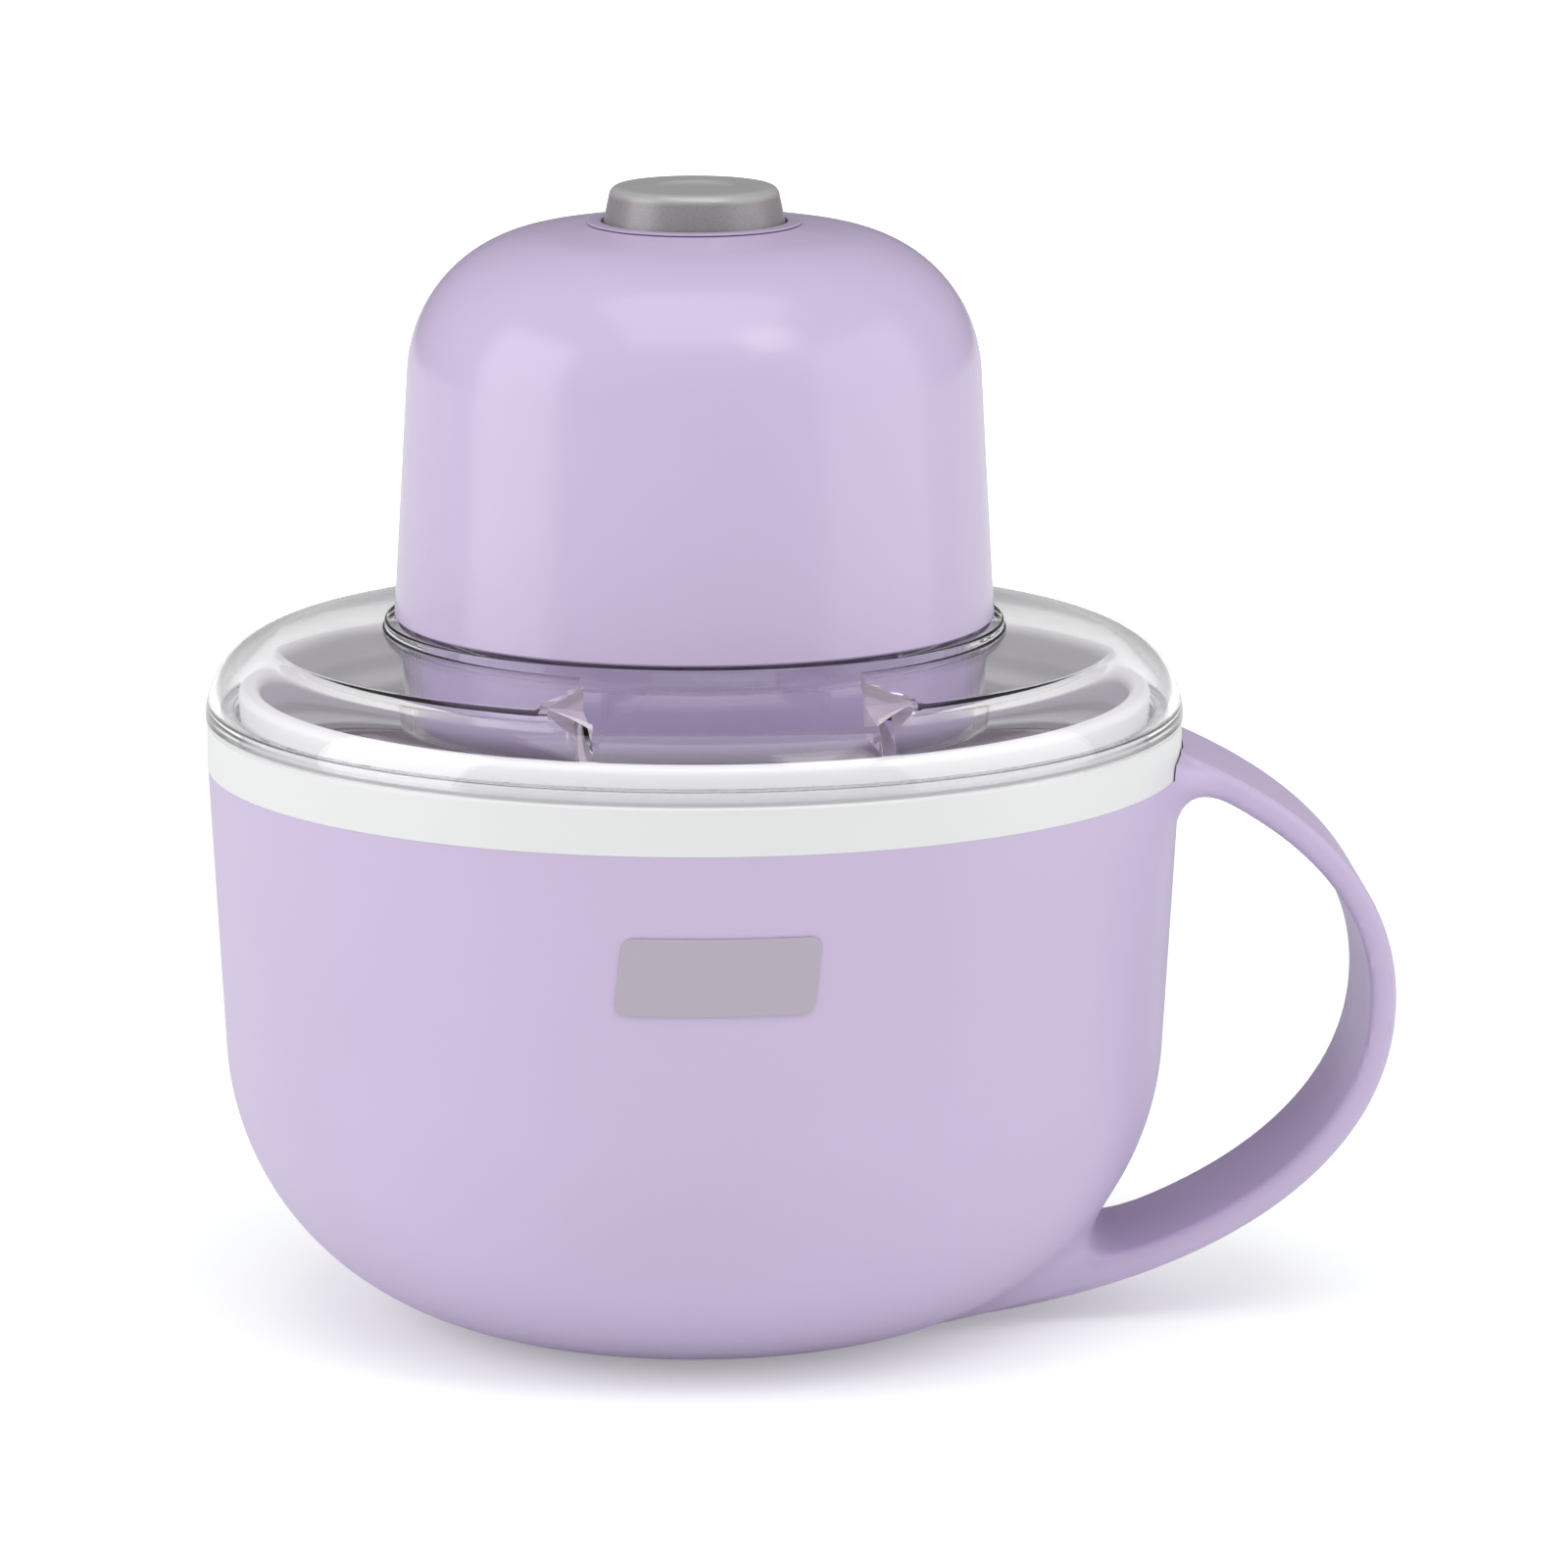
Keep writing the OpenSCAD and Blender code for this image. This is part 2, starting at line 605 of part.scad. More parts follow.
button_wall = 2;
button_edge_r = 1.6;
button_top_r = button_r - 1.2;
dish_r = 6;
dish_depth = 0.5;
dish_ball_r = (dish_r * dish_r + dish_depth * dish_depth) / (2 * dish_depth);
plunger_r = 2.2;
plunger_gap = 0.3;
plunger_top_z = button_top_z - button_wall - 3;
stem_r = 3;
module power_button() {
    color(button_grey) difference() {
        rotate_extrude() polygon(concat(
            [[0, button_flange_z], [button_flange_r, button_flange_z],
                [button_flange_r, button_flange_z + button_flange_t],
                [button_r, button_flange_z + button_flange_t], [button_r, crown_edge_z]],
            arc(button_top_r - button_edge_r, button_top_z - button_edge_r, button_edge_r, 10, 90, 8),
            [[0, button_top_z]]));
        difference() {
            translate([0, 0, button_flange_z - cut])
                cylinder(r = button_top_r - button_wall,
                    h = button_top_z - button_wall - button_flange_z + cut);
            translate([0, 0, plunger_top_z]) cylinder(r = stem_r, h = button_h);
        }
        translate([0, 0, button_top_z + dish_ball_r - dish_depth]) sphere(r = dish_ball_r);
    }
}

switch_w = 14;
switch_flange_w = 18;
switch_flange_t = 1.4;
switch_top_z = bracket_top_z + 3.4;
switch_foot_z = bracket_z - 4.2;
terminal_len = 1.6;
plunger_foot_z = bracket_top_z + 1.2 - button_travel;
module switch_plunger() {
    color([0.85, 0.85, 0.85])
        translate([0, 0, plunger_foot_z + button_travel])
            cylinder(r = plunger_r, h = plunger_top_z - plunger_foot_z - button_travel);
}

module switch_body() {
    color([0.15, 0.15, 0.16]) difference() {
        union() {
            translate([-switch_w / 2, -switch_w / 2, switch_foot_z])
                cube([switch_w, switch_w, switch_top_z - switch_foot_z]);
            translate([-switch_flange_w / 2, -switch_flange_w / 2, bracket_top_z])
                cube([switch_flange_w, switch_flange_w, switch_flange_t]);
        }
        translate([0, 0, plunger_foot_z - 0.4]) cylinder(r = plunger_r + plunger_gap, h = dome_h);
    }
    color(steel) for (side = [-1, 1])
        translate([side * 4 - 0.4, -2, switch_foot_z - terminal_len]) cube([0.8, 4, terminal_len]);
}

module switch_bracket() {
    color([0.9, 0.9, 0.9]) difference() {
        union() {
            translate([0, 0, bracket_z]) cylinder(r = bracket_r, h = bracket_t);
            for (y = [-1, 1])
                translate([board_x + board_l / 2, y * (board_w / 2 - 3), board_z + board_t])
                    cylinder(r = 2.2, h = bracket_z - board_z - board_t + bracket_t / 2);
        }
        translate([-switch_w / 2 - 0.2, -switch_w / 2 - 0.2, bracket_z - cut])
            cube([switch_w + 0.4, switch_w + 0.4, bracket_t + 2 * cut]);
        at_ring(bracket_angles, bracket_ring_r)
            translate([0, 0, bracket_z - cut]) cylinder(r = screw_r + 0.2, h = bracket_t + 2 * cut);
        for (y = [-1, 1])
            translate([-bracket_r, y * (bracket_r + 2), bracket_z - cut]) cylinder(r = 12, h = 4);
    }
}

// Round wire or spring: a many-sided tube swept along points
function unit(v) = v / norm(v);
function along(p, i) = unit(p[min(i + 1, len(p) - 1)] - p[max(i - 1, 0)]);
function swept_ring(p, i, r, sides) =
    let (d = along(p, i))
    let (u = unit(cross(d, abs(d[2]) < 0.9 ? [0, 0, 1] : [1, 0, 0])))
    let (v = cross(d, u))
    [for (k = [0:sides - 1]) p[i] + r * (cos(360 * k / sides) * u + sin(360 * k / sides) * v)];
module swept_tube(p, r, sides = 6) {
    points = [for (i = [0:len(p) - 1]) each swept_ring(p, i, r, sides)];
    last = (len(p) - 1) * sides;
    polyhedron(points = points, faces = concat(
        [[for (k = [0:sides - 1]) k]],
        [for (i = [0:len(p) - 2]) for (k = [0:sides - 1])
            [i * sides + k, (i + 1) * sides + k,
                (i + 1) * sides + (k + 1) % sides, i * sides + (k + 1) % sides]],
        [[for (k = [sides - 1:-1:0]) last + k]]), convexity = 10);
}

spring_r = 4.3;
spring_wire_r = 0.35;
spring_turns = 5;
spring_foot_z = switch_top_z + spring_wire_r + 0.15;
spring_head_z = button_top_z - button_wall - spring_wire_r - 0.15;
module button_spring() {
    steps = spring_turns * 18;
    color(steel) swept_tube([for (i = [0:steps])
        let (a = 360 * spring_turns * i / steps)
        [spring_r * cos(a), spring_r * sin(a), spring_foot_z + (spring_head_z - spring_foot_z) * i / steps]],
        spring_wire_r);
}

// ---- Board and leads ----

board_x = 10.5;
board_l = 23;
board_w = 20;
board_t = 1.6;
board_z = bracket_z - 3.4;
cap_r = 4;
cap_len = 8;
cap_x = 27;
module circuit_board() {
    color([0.15, 0.4, 0.25]) translate([board_x, -board_w / 2, board_z]) cube([board_l, board_w, board_t]);
    color([0.1, 0.1, 0.1]) for (y = [-8, -5, 5, 8])
        translate([board_x + 2.5, y, board_z - 1]) rotate([0, 90, 0]) cylinder(r = 1, h = 4);
}
module board_capacitor() {
    color([0.2, 0.3, 0.6]) translate([cap_x, 0, board_z - cap_len]) cylinder(r = cap_r, h = cap_len);
}

wire_r = 0.8;
module lead_wires() {
    color([0.75, 0.15, 0.12]) swept_tube([
        [2, gland_in_y - 1, gland_z], [8, 34, gland_z + 2], [14, 30, gland_z + 7], [19, 24, gland_z + 12],
        [20.5, 18, board_z - 8], [20.5, 13, board_z - 3], [20.5, 8, board_z - wire_r - 0.1]], wire_r);
    color([0.1, 0.1, 0.12]) swept_tube([
        [-1.5, gland_in_y - 1, gland_z + 1], [-4, 33, gland_z + 4], [-8, 28, gland_z + 10],
        [-11, 20, board_z - 6], [-9, 12, switch_foot_z - 0.9],
        [-4.4 - wire_r, 0, switch_foot_z - 0.9]], wire_r);
    color([0.75, 0.15, 0.12]) swept_tube([
        [20, 0, board_z - wire_r - 0.1], [12, 0, switch_foot_z - 0.9],
        [4.4 + wire_r, 0, switch_foot_z - 0.9]],
        wire_r);
}

// ---- Cord gland ----

gland_body_r = gland_bore_r + 1.6;
gland_flange_r = gland_body_r + 2;
gland_wall_y = dome_side_r(0, gland_z - gland_flange_r);
gland_in_y = gland_wall_y - dome_wall - 3.2;
gland_out_y = gland_wall_y + 3;
module cord_gland() {
    color(lavender) translate([0, 0, gland_z]) rotate([-90, 0, 0]) difference() {
        union() {
            translate([0, 0, gland_in_y]) cylinder(r = gland_body_r, h = gland_out_y - gland_in_y);
            translate([0, 0, gland_wall_y + 0.1]) cylinder(r = gland_flange_r, h = 2.2);
            translate([0, 0, gland_in_y]) cylinder(r = gland_flange_r, h = 2);
        }
        translate([0, 0, gland_in_y - cut]) cylinder(r = gland_bore_r, h = 20);
    }
}

// ---- Gearbox ----

pinion_teeth = 12;
first_teeth = 44;
second_teeth = 40;
output_teeth = 34;
first_reach = fast_module * (pinion_teeth + first_teeth) / 2;
second_reach = fast_module * (pinion_teeth + second_teeth) / 2;
output_reach = slow_module * (pinion_teeth + output_teeth) / 2;
second_pos = [-output_reach, 0];
first_x = (second_reach * second_reach - first_reach * first_reach - output_reach * output_reach)
    / (2 * output_reach);
first_pos = [first_x, sqrt(first_reach * first_reach - first_x * first_x)];

// A gear's outline: each tooth narrows from root to tip, with a little backlash
tooth_root = 0.8;
tooth_pitch = 0.68;
tooth_tip = 0.3;
addendum = 0.9;
dedendum = 1.25;
function tooth_point(m, r, half, a) = let (b = a + half * m / r * 180 / PI) [r * cos(b), r * sin(b)];
function gear_outline(m, n) =
    let (pitch_r = m * n / 2, tip_r = pitch_r + addendum * m, root_r = pitch_r - dedendum * m)
    [for (i = [0:n - 1]) let (a = 360 * i / n) each [
        tooth_point(m, root_r, -tooth_root, a), tooth_point(m, pitch_r, -tooth_pitch, a),
        tooth_point(m, tip_r, -tooth_tip, a), tooth_point(m, tip_r, tooth_tip, a),
        tooth_point(m, pitch_r, tooth_pitch, a), tooth_point(m, root_r, tooth_root, a)]];
module gear(m, n, z0, h, turn) {
    translate([0, 0, z0]) rotate([0, 0, turn]) linear_extrude(height = h) polygon(gear_outline(m, n));
}
// Turn of the driven gear so that its gap faces the driver's tooth
function mesh_turn(dir, driver_turn, n_driver, n_driven) =
    dir + 180 + 180 / n_driven + (dir - driver_turn) * n_driver / n_driven;

case_wall = 1.6;
case_floor_z = boss_top_z;
case_floor_t = 1.6;
out_gear_z = case_floor_z + case_floor_t + 1.2;
out_gear_t = 6;
second_gear_z = out_gear_z + out_gear_t + 1.2;
second_gear_t = 4;
first_gear_z = second_gear_z + second_gear_t + 1;
first_gear_t = 3;
cover_z = first_gear_z + first_gear_t + 1.6;
cover_t = 2.4;
cover_top_z = cover_z + cover_t;
first_r = fast_module * (first_teeth / 2 + addendum);
second_r = fast_module * (second_teeth / 2 + addendum);
out_gear_r = slow_module * (output_teeth / 2 + addendum);
gear_room = 0.8;
pinion_hole_r = 5.2;
motor_screw_x = 9;
ear_r = 3.4;
ear_reach = 1.9;
gearbox_head_r = 2.6;
ears = [
    [motor_r + gearbox_head_r + seat_gap, 0],
    second_pos + (second_r + gear_room + case_wall + ear_reach) * [cos(215), sin(215)],
    first_pos + (first_r + gear_room + case_wall + ear_reach) * [cos(100), sin(100)]];
screw_len = 10;

dir_motor_first = atan2(first_pos[1], first_pos[0]);
dir_first_second = atan2(second_pos[1] - first_pos[1], second_pos[0] - first_pos[0]);
dir_second_out = 0;
motor_turn = 0;
first_turn = mesh_turn(dir_motor_first, motor_turn, pinion_teeth, first_teeth);
second_turn = mesh_turn(dir_first_second, first_turn, pinion_teeth, second_teeth);
output_turn = mesh_turn(dir_second_out, second_turn, pinion_teeth, output_teeth);

// The three round rooms of the gearbox, grown by g
module gear_rooms(g, z0, z1) {
    translate([0, 0, z0]) {
        cylinder(r = out_gear_r + gear_room + g, h = z1 - z0);
        translate(second_pos) cylinder(r = second_r + gear_room + g, h = z1 - z0);
        translate(first_pos) cylinder(r = first_r + gear_room + g, h = z1 - z0);
    }
}

module gear_case() {
    color([0.86, 0.86, 0.84]) difference() {
        union() {
            gear_rooms(case_wall, case_floor_z, cover_z);
            for (p = ears)
                translate([p[0], p[1], case_floor_z]) cylinder(r = ear_r, h = cover_z - case_floor_z);
        }
        difference() {
            gear_rooms(0, case_floor_z + case_floor_t, cover_z + cut);
            translate([second_pos[0], second_pos[1], case_floor_z])
                cylinder(r = axle_r + 1.5, h = out_gear_z - case_floor_z - 0.4);
        }
        translate([0, 0, case_floor_z - cut]) cylinder(r = shaft_r + running_gap, h = 10);
        translate([second_pos[0], second_pos[1], case_floor_z + 0.6]) cylinder(r = axle_r, h = 10);
        for (p = ears)
            translate([p[0], p[1], cover_z - screw_len]) cylinder(r = screw_r, h = screw_len + cut);
    }
}

module gear_cover() {
    color([0.86, 0.86, 0.84]) difference() {
        union() {
            gear_rooms(case_wall, cover_z, cover_top_z);
            for (p = ears)
                translate([p[0], p[1], cover_z]) cylinder(r = ear_r, h = cover_t);
            for (p = [first_pos, second_pos])
                translate([p[0], p[1], cover_z - 1]) cylinder(r = axle_r + 1.2, h = cover_t);
        }
        translate([0, 0, cover_z - 2 * cut]) cylinder(r = pinion_hole_r, h = 10);
        for (p = [first_pos, second_pos])
            translate([p[0], p[1], cover_z - 2 * cut]) cylinder(r = axle_r, h = cover_t + cut);
        for (p = ears)
            translate([p[0], p[1], cover_z - cut]) cylinder(r = screw_r + 0.2, h = 10);
        for (side = [-1, 1]) translate([side * motor_screw_x, 0, 0]) {
            translate([0, 0, cover_z - cut]) cylinder(r = screw_r + 0.2, h = 10);
            translate([0, 0, cover_z - cut]) cylinder(r = 2.6, h = 1.3 + cut);
        }
    }
}

module first_axle() {
    color(steel) translate([first_pos[0], first_pos[1], second_gear_z - 0.2])
        cylinder(r = axle_r - 0.01, h = cover_top_z - cut - second_gear_z);
}
module second_axle() {
    color(steel) translate([second_pos[0], second_pos[1], case_floor_z + 0.7])
        cylinder(r = axle_r - 0.01, h = cover_top_z - cut - case_floor_z - 0.9);
}

module output_bush() {
    color([0.75, 0.6, 0.35]) ring(shaft_r + running_gap, bush_r, base_floor_z + 1.3, boss_top_z - 0.1);
}
module shaft_seal() {
    color([0.2, 0.2, 0.2]) ring(shaft_r + 0.1, bush_r, base_floor_z, base_floor_z + 1.2);
}

module geared_bore(h0) {
    translate([0, 0, h0]) cylinder(r = axle_r + running_gap, h = 40);
}
module first_gear() {
    color(gear_white) translate(first_pos) difference() {
        union() {
            gear(fast_module, first_teeth, first_gear_z, first_gear_t, first_turn);
            gear(fast_module, pinion_teeth, second_gear_z - 0.1,
                first_gear_z - second_gear_z + 0.2, first_turn);
        }
        geared_bore(second_gear_z - cut);
    }
}
module second_gear() {
    color(gear_white) translate(second_pos) difference() {
        union() {
            gear(fast_module, second_teeth, second_gear_z, second_gear_t, second_turn);
            gear(slow_module, pinion_teeth, out_gear_z - 0.2, second_gear_z - out_gear_z + 0.4, second_turn);
        }
        geared_bore(out_gear_z - cut);
    }
}
module output_gear() {
    color(gear_white) difference() {
        union() {
            gear(slow_module, output_teeth, out_gear_z, out_gear_t, output_turn);
            translate([0, 0, out_gear_z - 0.8]) cylinder(r = shaft_r + 2.5, h = 1.2);
        }
        translate([0, 0, out_gear_z - 2 * cut]) cylinder(r = shaft_r, h = 2 * out_gear_t);
    }
}

shaft_top_z = out_gear_z + out_gear_t + 2;
shaft_foot_z = base_floor_z - 1.5;
square_foot_z = base_floor_z - 16;
clip_t = 0.8;
clip_z = out_gear_z + out_gear_t + 0.1;
module output_shaft() {
    color(steel) difference() {
        union() {
            translate([0, 0, shaft_foot_z]) cylinder(r = shaft_r - 0.01, h = shaft_top_z - shaft_foot_z);
            translate([-drive_square / 2, -drive_square / 2, square_foot_z])
                cube([drive_square, drive_square, shaft_foot_z - square_foot_z + 1]);
        }
        ring(shaft_r - 0.6, shaft_r + 1, clip_z, clip_z + clip_t + 0.1);
    }
}
module retaining_ring() {
    color([0.35, 0.35, 0.37]) difference() {
        ring(shaft_r - 0.55, shaft_r + 2, clip_z + 0.05, clip_z + clip_t);
        translate([0, -1.5, clip_z - cut]) cube([2 * shaft_r, 3, 4]);
    }
}

// ---- Motor ----

can_z = cover_top_z;
can_top_z = can_z + motor_len;
can_wall = 1;
rotor_r = motor_r - 5.5;
rotor_shaft_r = 1.15;
cap_t = 3.4;
module motor_can() {
    color(steel) difference() {
        translate([0, 0, can_z]) cylinder(r = motor_r, h = motor_len);
        translate([0, 0, can_z + can_wall]) cylinder(r = motor_r - can_wall, h = motor_len);
        translate([0, 0, can_z - cut]) cylinder(r = 3.02, h = 4);
        for (side = [-1, 1])
            translate([side * motor_screw_x, 0, can_z - cut]) cylinder(r = screw_r, h = 4);
    }
}
module motor_magnets() {
    color([0.2, 0.2, 0.22]) for (side = [0, 180]) rotate([0, 0, side]) intersection() {
        ring(rotor_r + 0.7, motor_r - can_wall - 0.1, can_z + 3, can_top_z - 1);
        rotate([0, 0, 25]) cube([2 * motor_r, 2 * motor_r, 2 * can_top_z]);
    }
}
module motor_bush() {
    color([0.75, 0.6, 0.35]) ring(rotor_shaft_r + running_gap, 3, can_z - 0.6, can_z + 1.6);
}
module motor_end_cap() {
    color([0.9, 0.9, 0.9]) difference() {
        translate([0, 0, can_top_z]) cylinder(r = motor_r, h = cap_t);
        translate([0, 0, can_top_z - cut]) cylinder(r = rotor_shaft_r + running_gap, h = cut + 2);
    }
    color(steel) for (side = [-1, 1])
        translate([-2, side * 9 - 0.4, can_top_z + cap_t]) cube([4, 0.8, 1.6]);
}
module armature() {
    color([0.5, 0.32, 0.2]) union() {
        translate([0, 0, can_z + 5]) cylinder(r = rotor_r, h = motor_len - 9);
        translate([0, 0, first_gear_z - 0.2]) cylinder(r = rotor_shaft_r, h = can_top_z + 1.6 - first_gear_z);
    }
}
module motor_pinion() {
    color([0.8, 0.66, 0.38]) difference() {
        gear(fast_module, pinion_teeth, first_gear_z - 0.2, first_gear_t + 0.8, motor_turn);
        translate([0, 0, first_gear_z - cut]) cylinder(r = rotor_shaft_r + 0.01, h = 10);
    }
}

// ---- Screws ----

// Screw with its head at height z and its shank going up (dir 1) or down (dir -1)
module screw(z, len, dir, head_r = screw_head_r, head_t = 1.6) {
    difference() {
        union() {
            translate([0, 0, dir > 0 ? z : z - len]) cylinder(r = screw_r - 0.02, h = len);
            translate([0, 0, dir > 0 ? z - head_t : z]) cylinder(r = head_r, h = head_t);
        }
        translate([0, 0, dir > 0 ? z - head_t - cut : z + head_t - 0.8])
            cylinder(r = 1.1, h = 0.8 + cut, $fn = 6);
    }
}
module housing_screws() {
    color(steel) at_ring(screw_angles, screw_ring_r)
        screw(base_floor_z - 0.02, column_foot_z - base_floor_z + 10, 1);
}
module gearbox_screws() {
    color(steel) for (p = ears)
        translate([p[0], p[1], 0]) screw(cover_top_z, screw_len + cover_t - 1, -1, gearbox_head_r);
}
module motor_screws() {
    color(steel) for (side = [-1, 1])
        translate([side * motor_screw_x, 0, 0]) screw(cover_z + 1.3, 3.6, 1, 2.4, 1.2);
}
module bracket_screws() {
    color(steel) at_ring(bracket_angles, bracket_ring_r) screw(bracket_z, bracket_t + 4, 1);
}

// ---- Paddle ----

paddle_w = liner_inner_w + paddle_gap;
paddle_foot_z = liner_floor_z + paddle_gap;
blade_top_z = rim_plate_z - 4;
hub_top_z = base_floor_z - 3;
hub_foot_z = square_foot_z - 7;
arm_h = 6;
plough_w = 9;
plough_x = 24;
module paddle() {
    color([0.9, 0.9, 0.92]) difference() {
        union() {
            rotate([90, 0, 0]) linear_extrude(height = blade_t, center = true) {
                difference() {
                    polygon(concat([[0, paddle_foot_z]], cup_curve(paddle_w, paddle_foot_z, blade_top_z),
                        [[0, blade_top_z]]));
                    polygon(concat([[-cut, paddle_foot_z + blade_w]],
                        cup_curve(paddle_w + blade_w, paddle_foot_z + blade_w, blade_top_z - arm_h),
                        [[-cut, blade_top_z - arm_h]]));
                }
                translate([-plough_x - plough_w, paddle_foot_z])
                    square([plough_w, blade_top_z - paddle_foot_z]);
                translate([-plough_x - plough_w / 2, blade_top_z - arm_h])
                    square([plough_x + plough_w / 2, arm_h]);
                translate([-plough_x - plough_w / 2, paddle_foot_z])
                    square([plough_x + plough_w / 2, blade_w]);
                translate([-blade_w / 2, paddle_foot_z]) square([blade_w, hub_foot_z - paddle_foot_z + 2]);
            }
            translate([0, 0, hub_foot_z]) cylinder(r = hub_r, h = hub_top_z - hub_foot_z);
        }
        translate([-drive_square / 2 - 0.2, -drive_square / 2 - 0.2, square_foot_z - 0.5])
            cube([drive_square + 0.4, drive_square + 0.4, 40]);
    }
}

mug_shell();
foot_pad();
badge();
bowl_rim();
bowl_outer();
bowl_liner();
coolant_gel();
fill_plug();
lid();
lid_gasket();
motor_housing();
housing_base();
button_bezel();
switch_bracket();
switch_body();
circuit_board();
board_capacitor();
lead_wires();
cord_gland();
gear_case();
gear_cover();
first_axle();
second_axle();
output_bush();
shaft_seal();
motor_can();
motor_magnets();
motor_bush();
motor_end_cap();
housing_screws();
gearbox_screws();
motor_screws();
bracket_screws();
power_button();
switch_plunger();
button_spring();
armature();
motor_pinion();
first_gear();
second_gear();
output_gear();
output_shaft();
retaining_ring();
paddle();
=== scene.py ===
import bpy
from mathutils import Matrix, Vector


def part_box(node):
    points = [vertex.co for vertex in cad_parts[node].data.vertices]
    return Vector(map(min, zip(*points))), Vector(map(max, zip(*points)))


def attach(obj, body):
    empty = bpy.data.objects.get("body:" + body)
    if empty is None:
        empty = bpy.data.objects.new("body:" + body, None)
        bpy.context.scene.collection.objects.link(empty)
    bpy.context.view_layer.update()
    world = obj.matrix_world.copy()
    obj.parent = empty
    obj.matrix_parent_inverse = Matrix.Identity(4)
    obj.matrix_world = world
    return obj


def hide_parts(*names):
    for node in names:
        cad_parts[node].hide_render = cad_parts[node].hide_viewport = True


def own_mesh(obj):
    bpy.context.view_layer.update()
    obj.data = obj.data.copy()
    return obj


bl_info = {
    "name": "Mug ice cream maker",
    "version": (1, 0, 0),
    "blender": (4, 5, 0),
    "location": "3D View > Sidebar > Ice cream",
    "description": "Finishes a mug-shaped ice cream maker: mug, clear lid, motor head, paddle and stage",
    "category": "Add Mesh",
}

from math import acos, asin, atan2, ceil, copysign, cos, pi, radians, sin, sqrt, tan

import bpy
import numpy as np
from bpy.props import FloatProperty, FloatVectorProperty, PointerProperty
from mathutils import Vector

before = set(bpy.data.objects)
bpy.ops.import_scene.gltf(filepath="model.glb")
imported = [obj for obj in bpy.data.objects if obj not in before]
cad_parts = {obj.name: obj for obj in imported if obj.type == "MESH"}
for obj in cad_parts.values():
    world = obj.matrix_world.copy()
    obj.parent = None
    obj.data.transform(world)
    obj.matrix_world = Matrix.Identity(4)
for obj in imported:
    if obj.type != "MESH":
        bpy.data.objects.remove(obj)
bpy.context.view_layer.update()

TURN_STEPS, FINE_STEPS = 160, 192
ARC_STEP = radians(5)
CRISP, EDGE, SOFT, BROAD = 0.0002, 0.0003, 0.0004, 0.0005   # radii of the usual small fillets
SUPPORT = 0.0002        # distance of the extra point beside a larger fillet
WELD = 1e-6             # points closer than this are merged
VOXEL = 0.0009          # grid of the mug's remesh
PAST = 0.01             # how far a cutting tool reaches past the piece

# the freezer bowl, from the mug's wall inwards
BOWL_AIR, BOWL_WALL, GEL_SPACE, LINER_PLAY, LINER_WALL = 0.002, 0.0018, 0.0076, 0.0004, 0.0012


# ---- sizes

def number(label, text, default, **more):
    return FloatProperty(name=label, description=text, default=default, **more)


def size(label, text, default):
    return number(label, text, default, unit="LENGTH", precision=4)


def angle(label, text, degrees):
    return number(label, text, radians(degrees), unit="ROTATION")


def colour(label, text, default):
    return FloatVectorProperty(
        name=label, description=text, default=default, size=3, subtype="COLOR", min=0.0, max=1.0)


class MugSizes(bpy.types.PropertyGroup):
    """Sizes of the mug, its handle, its rim and the bowl"""
    top_radius: size("Top radius", "Outer radius of the mug at its top edge", 0.0747)
    top_height: size("Top height", "Height of the mug's top edge", 0.0865)
    lean: angle("Lean", "Lean of the mug's side", 3.2)
    flat_radius: size("Flat radius", "Radius of the flat middle of the base", 0.0272)
    base_height: size("Base height", "Height of the base above the table", 0.0006)
    wall: size("Wall", "Wall of the mug", 0.0022)
    handle_width: size("Handle width", "Width of the handle ribbon", 0.030)
    handle_thickness: size("Handle thickness", "Thickness of the handle ribbon", 0.004)
    handle_round: size("Handle rounding", "Rounding of the ribbon's long edges", 0.0013)
    top_blend: size("Top blend", "Fillet under the handle's upper root", 0.0055)
    side_blend: size("Side blend", "Fillet beside the handle's upper root", 0.009)
    low_blend: size("Low blend", "Fillet where the handle runs into the belly", 0.011)
    rim_radius: size("Rim radius", "Outer radius of the white rim band", 0.0748)
    rim_height: size("Rim height", "Height of the white rim band", 0.0073)
    mouth_radius: size("Mouth radius", "Inner radius of the bowl's upstanding mouth", 0.0661)
    mouth_wall: size("Mouth wall", "Wall of the bowl's mouth", 0.0034)
    mouth_height: size("Mouth height", "Height of the bowl's mouth above the rim band", 0.0049)
    liner_radius: size("Liner radius", "Inner radius of the rim plate at the liner", 0.0615)
    pad_radius: size("Pad radius", "Radius of the foot pad", 0.026)
    pad_thickness: size("Pad thickness", "Thickness of the foot pad", 0.0018)
    badge_width: size("Badge width", "Width of the plain badge", 0.0306)
    badge_height: size("Badge height", "Height of the plain badge", 0.0118)
    badge_centre: size("Badge centre", "Height of the badge's centre", 0.0683)


